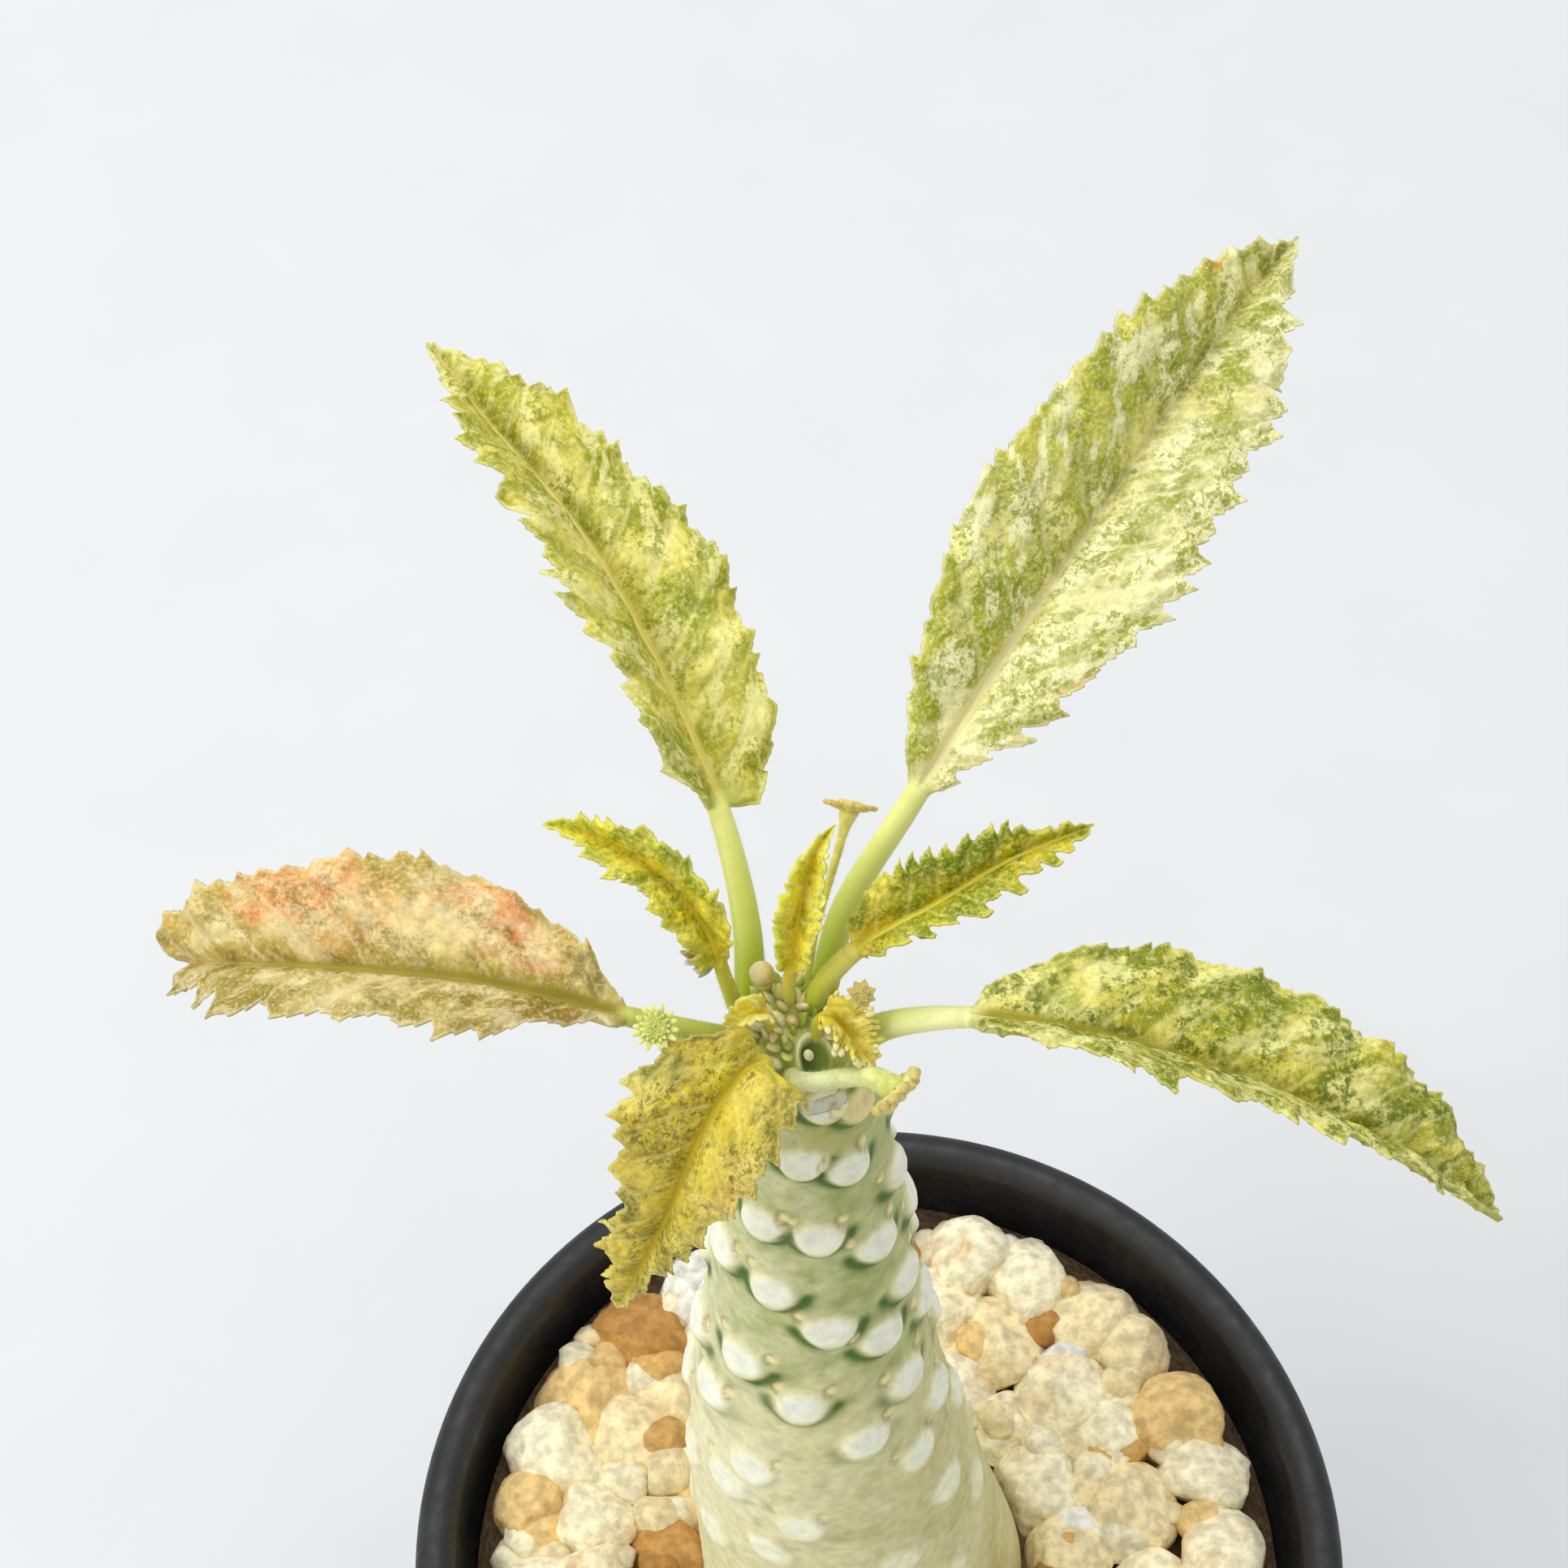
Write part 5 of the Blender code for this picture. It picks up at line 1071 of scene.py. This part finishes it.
def grain_spots(edge):
    """Jittered rings of grain centres between the trunk and the pot wall."""
    draw = random.Random(GRAIN_SEED)
    axis, foot = trunk_section(BED_TOP)
    middle = sum(GRAIN_RADIUS) / 2
    spots = []
    for ring in range(GRAIN_RINGS):
        share = ring / (GRAIN_RINGS - 1)
        near, far = foot + 0.8 * middle, edge - middle
        reach = near + (far - near) * share
        count = round(2.0 * math.pi * reach / GRAIN_PITCH)
        for k in range(count):
            radius = draw.uniform(*GRAIN_RADIUS)
            turn = 2.0 * math.pi * (k + draw.uniform(-0.2, 0.2) + 0.5 * ring) / count
            out = min(reach + draw.uniform(-0.8, 0.8), edge - 0.6 - 1.08 * radius)
            shift = axis * (1.0 - share)
            spots.append((shift + out * math.cos(turn), out * math.sin(turn), radius))
    return spots


GRAIN_TONES = [((250, 240, 204), 0.40), ((244, 226, 178), 0.24), ((236, 202, 136), 0.14),
               ((222, 178, 108), 0.09), ((192, 142, 76), 0.04), ((240, 238, 226), 0.07)]


def grain_tone(draw):
    pick, total = draw.random(), 0.0
    for colour, share in GRAIN_TONES:
        total += share
        if pick < total:
            return linear(colour)
    return linear(GRAIN_TONES[0][0])


def grain_points(points, radius, draw, seed):
    """A rounded lump of pumice: a ball cut by random planes, with dents and pores."""
    shape = points.copy()
    for _ in range(11):
        direction = unit(np.array([draw.gauss(0, 1) for _ in range(3)]))
        limit = draw.uniform(0.66, 0.92)
        over = np.maximum(shape @ direction - limit, 0.0)
        shape = shape - 0.92 * over[:, None] * direction
    rough = 1.06 + 0.06 * clouds(points * 1.7 + seed, 3, seed) + 0.025 * noise(points * 7.0 + seed, seed + 2)
    pores, _, _ = cells(points * 3.4 + seed, seed, flat=False)
    rough = rough - 0.05 * step(0.42, 0.12, pores)
    stretch = np.array([draw.uniform(0.86, 1.14), draw.uniform(0.86, 1.1), draw.uniform(0.75, 0.95)])
    spin = np.array(Matrix.Rotation(draw.uniform(0, 6.28), 3, "Z")
                    @ Matrix.Rotation(draw.uniform(-0.5, 0.5), 3, "X"))
    return (shape * rough[:, None] * stretch * radius) @ spin.T, pores


def make_gravel():
    wall_high = POT_SHOULDER_RADIUS - POT_WALL - 0.3
    edge = wall_high + 1.0
    points, tris = ball(4)
    draw = random.Random(GRAIN_SEED + 5)
    grains = Bundle()
    for k, (x, y, radius) in enumerate(grain_spots(edge)):
        shape, pores = grain_points(points, radius, draw, k)
        lift = draw.uniform(-0.4, 1.2) + 1.2 * float(step(0.55, 0.85, math.hypot(x, y) / edge))
        tone = grain_tone(draw)
        stain = step(0.1, 0.6, clouds(points * 1.4 + k, 2, k))[:, None] * draw.choice((0.1, 0.2, 0.4, 0.7))
        tint = tone + (linear((216, 176, 116)) - tone) * stain
        # Painted shade: the grains are darker in their pores.
        tint = tint * (1.0 - 0.25 * step(0.3, 0.1, pores))[:, None]
        grains.add(shape + np.array([x, y, BED_TOP + lift]), tris=tris, tint=tint)
    small_points, small_tris = ball(3)
    draw = random.Random(GRAIN_SEED + 9)
    axis, foot = trunk_section(BED_TOP)
    for k in range(SMALL_GRAINS):
        radius = draw.uniform(1.5, 3.1)
        turn = draw.uniform(0.0, 2.0 * math.pi)
        reach = draw.uniform(foot + 1.2 * radius, edge - 1.2 * radius)
        shape, _ = grain_points(small_points, radius, draw, 200 + k)
        x = axis * (1.0 - (reach - foot) / (edge - foot)) + reach * math.cos(turn)
        height = BED_TOP + draw.uniform(0.6, 2.8)
        grains.add(shape + np.array([x, reach * math.sin(turn), height]), tris=small_tris,
                   tint=grain_tone(draw) * draw.uniform(0.82, 1.0))
    finish = tinted_finish("pumice", 0.9, 0.8, 3.5, 0.22, 0.30, 0.05)
    piece = grains.make("gravel_grains", finish)

    bed = Bundle()
    profile = [(0.1, 2.5), (POT_FOOT_RADIUS - POT_WALL - 1.7, 2.5), (POT_FOOT_RADIUS - POT_WALL - 0.3, 3.9),
               (wall_high - 0.3, 67.4), (edge, BED_TOP), (foot - 1.0, BED_TOP)]
    around = 72
    turn = 2.0 * math.pi * np.arange(around) / around
    rings = np.array([[(r * math.cos(t), r * math.sin(t), z) for t in turn] for r, z in profile])
    bed.add(rings.reshape(-1, 3), loft_quads(len(profile), around),
            np.vstack([cap_tris(np.arange(around), 0, False)[1:-1],
                       cap_tris(np.arange(around) + (len(profile) - 1) * around,
                                (len(profile) - 1) * around)[1:-1]]), tint=linear((112, 90, 62)))
    soil = bed.make("gravel_bed", tinted_finish("soil", 0.95, 0.8, 2.0, 0.3, 0.5, 0.0))
    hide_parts("gravel")
    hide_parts("gravel")


# Pot

def make_pot():
    skirt_foot = POT_HEIGHT - SKIRT_HEIGHT
    skirt_out = POT_RIM_RADIUS - SKIRT_INSET
    lip_in = POT_RIM_RADIUS - LIP_WIDTH
    bead_low = POT_HEIGHT - RIM_BEAD
    recess_in, recess_out, recess_deep = FOOT_RECESS
    lip = [(lip_in + LIP_WIDTH / 2 + (LIP_WIDTH / 2) * math.cos(t) * (1.0 if t < 1.57 else 1.0),
            POT_HEIGHT - 1.8 + 1.8 * math.sin(t)) for t in np.linspace(math.pi, 0.0, 15)]
    profile = ([(0.05, POT_FLOOR), (POT_FOOT_RADIUS - POT_WALL - 1.0, POT_FLOOR),
                (POT_FOOT_RADIUS - POT_WALL, POT_FLOOR + 1.0)]
               + [(POT_FOOT_RADIUS - POT_WALL + (POT_SHOULDER_RADIUS - POT_FOOT_RADIUS) * t,
                   POT_FLOOR + 1.0 + (skirt_foot - 2.0 - POT_FLOOR) * t) for t in (0.33, 0.66, 1.0)]
               + [(lip_in - 0.3, skirt_foot + 1.5), (lip_in - 0.05, bead_low)] + lip
               + [(POT_RIM_RADIUS - 0.1, bead_low + 0.5), (POT_RIM_RADIUS - 0.45, bead_low),
                  (skirt_out + 0.1, bead_low - 0.3), (skirt_out - 0.05, bead_low - 0.9),
                  (skirt_out - 0.5, skirt_foot + 0.5), (skirt_out - 0.75, skirt_foot),
                  (skirt_out - 1.2, skirt_foot - 0.2), (POT_SHOULDER_RADIUS + 0.1, skirt_foot - 0.5),
                  (POT_SHOULDER_RADIUS - 0.05, skirt_foot - 1.0)]
               + [(POT_SHOULDER_RADIUS - (POT_SHOULDER_RADIUS - POT_FOOT_RADIUS) * t,
                   (skirt_foot - 1.0) * (1.0 - t) + 1.2 * t) for t in (0.25, 0.5, 0.75, 1.0)]
               + [(POT_FOOT_RADIUS - 0.25, 0.4), (POT_FOOT_RADIUS - 0.8, 0.0), (recess_out, 0.0),
                  (recess_out - 0.4, recess_deep), (recess_in + 0.4, recess_deep), (recess_in, 0.0),
                  (0.05, 0.0)])
    around = 160
    turn = 2.0 * math.pi * np.arange(around) / around
    rings = np.array([[(r * math.cos(t), r * math.sin(t), z) for t in turn] for r, z in profile])
    points = np.vstack([rings.reshape(-1, 3), (0.0, 0.0, POT_FLOOR), (0.0, 0.0, 0.0)])
    end = len(points) - 2
    quads = loft_quads(len(profile), around)[:, ::-1]
    tris = np.vstack([cap_tris(np.arange(around), end, True),
                      cap_tris(np.arange(end - around, end), end + 1, False)])
    piece = add_mesh("pot_shell", points, quads, tris, pot_finish())
    holes = bmesh.new()
    for k in range(DRAIN_COUNT):
        angle = 2.0 * math.pi * (k + 0.5) / DRAIN_COUNT
        made = bmesh.ops.create_cone(holes, cap_ends=True, segments=40, radius1=DRAIN_RADIUS * MM,
                                     radius2=DRAIN_RADIUS * MM, depth=4.0 * POT_FLOOR * MM)
        spot = Vector((DRAIN_CIRCLE * math.cos(angle), DRAIN_CIRCLE * math.sin(angle), 0.0)) * MM
        bmesh.ops.translate(holes, verts=made["verts"], vec=spot)
    mesh = bpy.data.meshes.new("drain_holes")
    holes.to_mesh(mesh)
    holes.free()
    cutter = bpy.data.objects.new("drain_holes", mesh)
    bpy.context.scene.collection.objects.link(cutter)
    cut = piece.modifiers.new("Drains", "BOOLEAN")
    cut.operation = "DIFFERENCE"
    cut.object = cutter
    bpy.context.view_layer.update()
    graph = bpy.context.evaluated_depsgraph_get()
    made = bpy.data.meshes.new_from_object(piece.evaluated_get(graph))
    piece.modifiers.clear()
    piece.data = made
    bpy.data.objects.remove(cutter, do_unlink=True)
    piece.data.shade_smooth()
    piece.data.set_sharp_from_angle(angle=math.radians(40.0))
    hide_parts("pot")


# Flower heads

def stalk_tube(bundle, path, girths, tints, facing=None, size=16, count=24):
    """A round stalk; girths and tints are read along it from foot to top."""
    at = path_shares(path)
    share = np.linspace(0.0, 1.0, count)
    point, tangent, _, _ = path_frame(path, at, share)
    girth = through(girths, np.linspace(0.0, 1.0, len(girths)), share)
    tone = np.array([linear(c) for c in tints])
    tone = np.stack([np.interp(share, np.linspace(0.0, 1.0, len(tints)), tone[:, i]) for i in range(3)], -1)
    rings, along = [], np.zeros(3)
    side = other = None
    for k in range(count):
        along = tangent[k]
        if facing is not None:
            along = unit(along * (1.0 - share[k] ** 3) + facing * share[k] ** 3)
        if side is None:
            side, other = square_to(along)
        side = unit(side - (side @ along) * along)
        other = np.cross(along, side)
        turn = 2.0 * math.pi * np.arange(size)[:, None] / size
        reach = girth[k] * (1.0 + 0.03 * math.sin(9.0 * k))
        rings.append(point[k] + reach * (np.cos(turn) * side + np.sin(turn) * other))
    rings = np.array(rings)
    points = np.vstack([rings.reshape(-1, 3), point[0], point[-1]])
    end = count * size
    shade = np.repeat(tone, size, axis=0)
    tris = np.vstack([cap_tris(np.arange(size), end, False), cap_tris(np.arange(end - size, end), end + 1)])
    bundle.add(points, loft_quads(count, size), tris, tint=np.vstack([shade, tone[0], tone[-1]]))
    return rings


def bead(bundle, shape, centre, axes, sizes, tint, tip=None, pinch=0.0):
    """A small ellipsoid with its own axes; tip colours its first axis's end, pinch narrows it."""
    points, tris = shape
    narrow = 1.0 - pinch * np.clip(points[:, :1], 0.0, 1.0) ** 1.5
    local = np.concatenate([points[:, :1], points[:, 1:] * narrow], axis=1)
    moved = centre + (local * np.asarray(sizes)) @ np.asarray(axes)
    shade = np.broadcast_to(tint, points.shape)
    if tip is not None:
        amount = step(0.1, 0.9, points[:, :1])
        shade = shade * (1.0 - amount) + tip * amount
    bundle.add(moved, tris=tris, tint=shade)


BLOOM_LOOKS = {
    "disc": dict(girths=(0.54, 0.54, 0.55, 0.57, 0.60, 0.64, 0.68, 0.72, 0.76, 0.80, 0.90, 1.9),
                 tones=((196, 208, 70), (218, 212, 92), (226, 216, 116)),
                 body=(222, 212, 116), edge=(216, 184, 100)),
    "beaded": dict(girths=(1.0, 0.92, 0.86, 0.9, 1.0, 1.3),
                   tones=((206, 216, 130), (232, 236, 184), (222, 228, 124)),
                   body=(232, 232, 150), edge=(222, 200, 124)),
    "star": dict(girths=(1.0, 1.0, 1.1, 1.6), tones=((196, 204, 90), (220, 216, 130)),
                 body=(255, 238, 150), edge=(255, 212, 136)),
    "rosette": dict(girths=(1.0, 1.0, 1.0, 1.5), tones=((196, 206, 96), (214, 218, 130)),
                    body=(206, 212, 104), edge=(226, 224, 140))}


def make_bloom(name, shape, seed):
    facing = unit(np.asarray(shape["facing"], float))
    side, other = square_to(facing)
    radius, thick, lobes, kind = shape["radius"], shape["thick"], shape["lobes"], shape["kind"]
    looks = BLOOM_LOOKS[kind]
    body, edge = linear(looks["body"]), linear(looks["edge"])
    bundle = Bundle()
    foot = np.asarray(shape["path"][0], float)
    core = np.array([-8.5, 0.0, foot[2] - 2.2])
    path = [tuple(core + 0.4 * (foot - core) * np.array([1.0, 1.0, 0.0]))] + shape["path"]
    rings = stalk_tube(bundle, path, [shape["stalk"] * g for g in looks["girths"]], looks["tones"], facing,
                       count=40)
    top = np.asarray(shape["path"][-1], float)
    draw = random.Random(seed)
    soft, fine = ball(3), ball(2)
    middle = top + facing * 0.25 * thick
    flat = {"disc": 0.20, "beaded": 0.34, "star": 0.34, "rosette": 0.24}[kind]
    bead(bundle, soft, middle, (side, other, facing), (0.72 * radius, 0.72 * radius, flat * thick),
         body * 0.9)

    def bract(turn, reach, rise, lift, sizes, tint, tip, pinch):
        out = math.cos(turn) * side + math.sin(turn) * other
        along = unit(out + lift * facing)
        flank = np.cross(facing, out)
        bead(bundle, soft, middle + reach * out + rise * facing, (along, flank, np.cross(along, flank)),
             sizes, tint, tip, pinch)

    width = 2.0 * math.pi * radius / lobes
    for k in range(lobes):
        turn = 2.0 * math.pi * (k + draw.uniform(-0.14, 0.14)) / lobes
        half = turn + math.pi / lobes
        size = draw.uniform(0.88, 1.1)
        if kind == "rosette":
            bract(turn, 0.62 * radius * size, 0.0, 0.10, (0.42 * radius, 0.30 * width, 0.12 * thick),
                  body, edge, -0.15)
            bract(half, 0.38 * radius, 0.16 * thick, 0.30, (0.32 * radius, 0.24 * width, 0.14 * thick),
                  body * 1.05, edge, -0.1)
        elif kind == "star":
            bract(turn, 0.56 * radius * size, 0.0, 0.0, (0.44 * radius, 0.40 * width, 0.26 * thick),
                  body, edge, 0.8)
        elif kind == "disc":
            bract(turn, 0.62 * radius * size, 0.0, 0.30, (0.40 * radius, 0.43 * width, 0.24 * thick),
                  body, edge, 0.15)
            bract(turn + 0.1, 0.94 * radius * size, 0.10 * thick, 0.2,
                  (0.15 * radius, 0.24 * width, 0.2 * thick), edge, edge * 0.82, 0.0)
        else:
            bract(turn, 0.62 * radius * size, 0.0, -0.15, (0.42 * radius, 0.42 * width, 0.42 * thick),
                  body, edge, 0.1)
            bract(turn, 0.95 * radius * size, -0.06 * thick, 0.0, (0.17 * radius, 0.36 * width, 0.40 * thick),
                  edge * 1.05, edge * 0.9, 0.1)
            bract(half, 0.70 * radius, 0.30 * thick, 0.4, (0.20 * radius, 0.32 * width, 0.32 * thick),
                  body, edge, 0.1)
    florets = 3 * lobes
    for k in range(florets):
        turn = k * GOLDEN_ANGLE
        out = math.cos(turn) * side + math.sin(turn) * other
        reach = 0.48 * radius * math.sqrt((k + 0.5) / florets)
        size = 0.11 * radius * draw.uniform(0.8, 1.15)
        bead(bundle, fine, middle + out * reach + facing * (flat + 0.02) * thick, (side, other, facing),
             (size, size, 1.2 * size), body * draw.uniform(0.9, 1.05), body * 0.8 + edge * 0.25)
    piece = bundle.make(name + "_head", tinted_finish(name + "_skin", 0.65, 1.5, 9.0, 0.14, 0.07, 0.25))
    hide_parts(name)
    return rings


def make_bud():
    """The round closed head between the stalks, ripening orange on one side."""
    bundle = Bundle()
    centre, radius = np.asarray(BUD["centre"], float), BUD["radius"]
    facing = unit(centre - np.asarray(BUD["path"][0]))
    side, other = square_to(facing)
    stalk_tube(bundle, BUD["path"], [BUD["stalk"], 1.4 * BUD["stalk"], 2.0 * BUD["stalk"]],
               ((160, 172, 70), (206, 204, 120)), facing, count=8)
    points, tris = ball(4)
    around = np.arctan2(points[:, 1], points[:, 0])
    crease = 1.0 - 0.05 * np.abs(np.sin(2.5 * around)) ** 6 * (1.0 - points[:, 2] ** 2)
    crease = crease + 0.03 * clouds(points * 2.6, 3, 81)
    moved = centre + radius * (points * crease[:, None]) @ np.array((side, other, facing))
    blush = step(-0.3, 0.7, (moved - centre)[:, 0] / radius + 0.3 * clouds(points * 1.8, 2, 83))
    tint = linear((222, 214, 158)) + (linear((214, 186, 116)) - linear((222, 214, 158))) * blush[:, None]
    low = step(-0.1, -0.9, points[:, 2])[:, None]
    bundle.add(moved, tris=tris, tint=tint + (linear((186, 190, 96)) - tint) * low)
    piece = bundle.make("bloom_bud_head", tinted_finish("bloom_bud_skin", 0.6, 1.5, 9.0, 0.1, 0.05, 0.25))
    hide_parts("bloom_bud")


# Crown

CROWN_TONES = ((244, 238, 190), (222, 212, 146), (178, 190, 88), (238, 228, 176), (214, 196, 130),
               (214, 216, 126), (160, 176, 66), (200, 206, 104))
CROWN_EXTRAS = [((-9.9, -1.5, 177.8), (-0.1, -0.9, 0.0), (1.0, 0.45, 0.3), (226, 204, 148)),
                ((-10.1, -0.8, 178.2), (0.1, -0.8, 0.6), (0.7, 0.5, 0.4), (212, 150, 90)),
                ((-6.9, 0.7, 178.5), (0.5, 0.2, 0.9), (1.0, 0.42, 0.3), (228, 212, 160)),
                ((-7.9, 0.1, 178.4), (0.2, -0.4, 0.9), (1.1, 0.48, 0.32), (238, 226, 184)),
                ((-11.0, -1.0, 177.9), (-0.6, -0.5, 0.7), (1.1, 0.6, 0.4), (238, 234, 206)),
                ((-11.7, -1.7, 177.2), (-0.7, -0.6, 0.4), (1.2, 0.6, 0.35), (206, 208, 150)),
                ((-9.4, 1.1, 178.6), (-0.2, 0.2, 1.0), (0.9, 0.6, 0.5), (190, 188, 112)),
                ((-6.3, -1.4, 177.2), (0.5, -0.6, 0.5), (1.0, 0.55, 0.35), (236, 224, 176)),
                ((-9.0, -2.2, 177.4), (0.1, -0.8, 0.5), (1.1, 0.5, 0.4), (150, 160, 78)),
                ((-8.6, -0.9, 178.1), (0.0, -0.5, 0.9), (1.0, 0.5, 0.45), (222, 200, 140)),
                ((-15.4, 1.2, 182.6), (-0.6, -0.5, 0.4), (0.9, 0.35, 0.2), (240, 234, 222)),
                ((-15.0, 1.0, 182.0), (-0.2, -0.8, 0.5), (0.8, 0.35, 0.2), (222, 196, 186)),
                ((-14.5, 1.2, 181.5), (-0.6, -0.6, -0.2), (0.8, 0.3, 0.2), (176, 188, 140)),
                ((-15.7, 1.4, 183.1), (-0.8, 0.1, 0.5), (0.7, 0.3, 0.2), (206, 170, 160))]


def make_crown():
    """Dried scales and knobs between the stalks, and the bead inside the arched scar."""
    bundle = Bundle()
    draw = random.Random(17)
    soft = ball(3)
    heights, _, radii = (np.array(column) for column in zip(*TRUNK_LINE[9:]))
    middle, sideways, upward = arch_frame()
    for k in range(CROWN_SCALES):
        reach = 0.3 + 3.5 * math.sqrt((k + 0.3) / CROWN_SCALES)
        turn = k * GOLDEN_ANGLE + 0.4
        out = np.array([math.cos(turn), math.sin(turn), 0.0])
        height = np.interp(reach, radii[::-1], heights[::-1])
        centre = np.array([-8.5, 0.0, height + 0.15]) + reach * out
        lean = 0.26 * reach
        along = unit(np.array([lean * out[0] + draw.uniform(-0.35, 0.35),
                               lean * out[1] + draw.uniform(-0.35, 0.35), 1.0]))
        side, other = square_to(along)
        length = draw.uniform(0.95, 1.6) * (1.0 - 0.10 * reach)
        width = draw.uniform(0.34, 0.58)
        tone = linear(CROWN_TONES[draw.randrange(len(CROWN_TONES))])
        gap = centre - middle
        if math.hypot(gap @ sideways / ARCH_SIZE[0], gap @ upward / ARCH_SIZE[1]) < 1.45:
            continue
        bead(bundle, soft, centre, (along, side, other), (length, width, 0.6 * width), tone * 0.95,
             np.minimum(tone * 1.2, 0.95), 0.75)
    for at, toward, sizes, colour in CROWN_EXTRAS:
        along = unit(np.array(toward, float))
        side, other = square_to(along)
        tone = linear(colour)
        bead(bundle, soft, np.array(at), (along, side, other), sizes, tone * 0.9, tone, 0.4)
    normal = unit(np.cross(sideways, upward))
    dot = middle - 0.40 * sideways + 0.55 * upward + 0.10 * normal
    bead(bundle, soft, dot, (sideways, upward, normal), (0.36, 0.42, 0.30), linear((236, 226, 180)),
         linear((250, 244, 214)))
    piece = bundle.make("crown_scales", tinted_finish("crown_skin", 0.6, 1.4, 6.0, 0.16, 0.08, 0.2))


# Down

def make_down(stalks):
    """Short white hairs on the stalks: slim closed spikes standing on the rings given."""
    draw = np.random.default_rng(23)
    points = []
    for rings, count in stalks:
        centre = rings.mean(1)
        row = draw.integers(0, len(rings) - 1, count)
        turn = draw.integers(0, rings.shape[1], count)
        share = draw.random((count, 1))
        foot = rings[row, turn] * (1 - share) + rings[row + 1, turn] * share
        core = centre[row] * (1 - share) + centre[row + 1] * share
        along = unit(centre[row + 1] - centre[row])
        lean = unit(unit(foot - core) + draw.normal(0.0, 0.22, (count, 3)))
        side = unit(np.cross(lean, along))
        other = np.cross(lean, side)
        length = draw.uniform(0.16, 0.36, (count, 1))
        for angle in (0.0, 2.1, 4.2):
            points.append(foot - 0.05 * lean + 0.011 * (math.cos(angle) * side + math.sin(angle) * other))
        points.append(foot + length * lean)
    total, parts = [], []
    start = 0
    for k in range(0, len(points), 4):
        block = np.stack(points[k:k + 4], 1)
        count = len(block)
        base = start + 4 * np.arange(count)[:, None]
        parts.append(np.concatenate([base + np.array(t)
                                     for t in ((0, 1, 3), (1, 2, 3), (2, 0, 3), (0, 2, 1))]))
        total.append(block.reshape(-1, 3))
        start += 4 * count
    finish = Finish("down_hair")
    finish.set(Roughness=0.5, Specular_IOR_Level=0.3,
               Subsurface_Weight=0.3, Subsurface_Scale=0.3 * MM)
    place = finish.node("ShaderNodeTexCoord").outputs["Object"]
    tone = finish.noise(finish.scaled(place, (1000.0, 1000.0, 1000.0)), 0.8, 2.0)
    finish.colour(finish.mix(tone, (0.80, 0.84, 0.50), (0.92, 0.94, 0.74)))
    piece = add_mesh("stalk_down", np.concatenate(total), (), np.concatenate(parts), finish.material)


# Stage

def stage():
    floor = bpy.data.meshes.new("floor")
    floor.from_pydata([(-3, -3, 0), (3, -3, 0), (3, 3, 0), (-3, 3, 0)], [], [(0, 1, 2, 3)])
    made = Finish("floor_paper")
    place = made.node("ShaderNodeTexCoord").outputs["Object"]
    grain = made.band(made.noise(place, 40.0, 3.0), 0.3, 0.7)
    made.colour(made.mix(grain, (0.775, 0.79, 0.79), (0.79, 0.805, 0.805)))
    made.set(Roughness=0.9, Specular_IOR_Level=0.1)
    floor.materials.append(made.material)
    plane = bpy.data.objects.new("floor", floor)
    plane.location = (0.0, 0.0, -0.0004)
    bpy.context.scene.collection.objects.link(plane)

    world = bpy.data.worlds.new("studio")
    bpy.context.scene.world = world
    world.use_nodes = True
    background = world.node_tree.nodes["Background"]
    background.inputs["Color"].default_value = (0.97, 0.985, 1.0, 1.0)
    background.inputs["Strength"].default_value = 0.62

    def panel(name, at, to, size, power, colour=(1.0, 1.0, 1.0)):
        light = bpy.data.lights.new(name, "AREA")
        light.shape = "SQUARE"
        light.size = size
        light.energy = power
        light.color = colour
        lamp = bpy.data.objects.new(name, light)
        lamp.location = at
        lamp.rotation_euler = (Vector(to) - Vector(at)).to_track_quat("-Z", "Y").to_euler()
        bpy.context.scene.collection.objects.link(lamp)

    panel("soft_top", (-0.15, 0.25, 1.1), (0.0, 0.0, 0.1), 0.9, 5.5)
    panel("soft_left", (-0.9, -0.35, 0.75), (0.0, 0.0, 0.15), 0.7, 4.5, (1.0, 0.99, 0.97))
    bpy.context.scene.view_settings.view_transform = "Standard"


def camera():
    lens = bpy.data.cameras.new("camera")
    lens.lens = CAMERA_LENS
    lens.sensor_width = 36.0
    lens.clip_start = 0.01
    lens.clip_end = 10.0
    made = bpy.data.objects.new("camera", lens)
    made.location = Vector(CAMERA_AT) * MM
    made.rotation_euler = (math.radians(CAMERA_TILT), 0.0, 0.0)
    bpy.context.scene.collection.objects.link(made)
    bpy.context.scene.camera = made


camera()
stage()
make_pot()
make_gravel()
make_trunk()
make_crown()
downy = []
for index, (leaf_name, leaf_shape) in enumerate(LEAVES.items()):
    made_stalk = make_leaf(leaf_name, leaf_shape, FINISH[leaf_name], index + 1)
    downy.append((made_stalk, round(LEAF_HAIRS * path_length(leaf_shape["path"]) * leaf_shape["base"])))
for index, (bloom_name, bloom_shape) in enumerate(BLOOMS.items()):
    made_stalk = make_bloom(bloom_name, bloom_shape, 60 + index)
    downy.append((made_stalk, round(BLOOM_HAIRS * path_length(bloom_shape["path"]))))
make_bud()
make_down(downy)
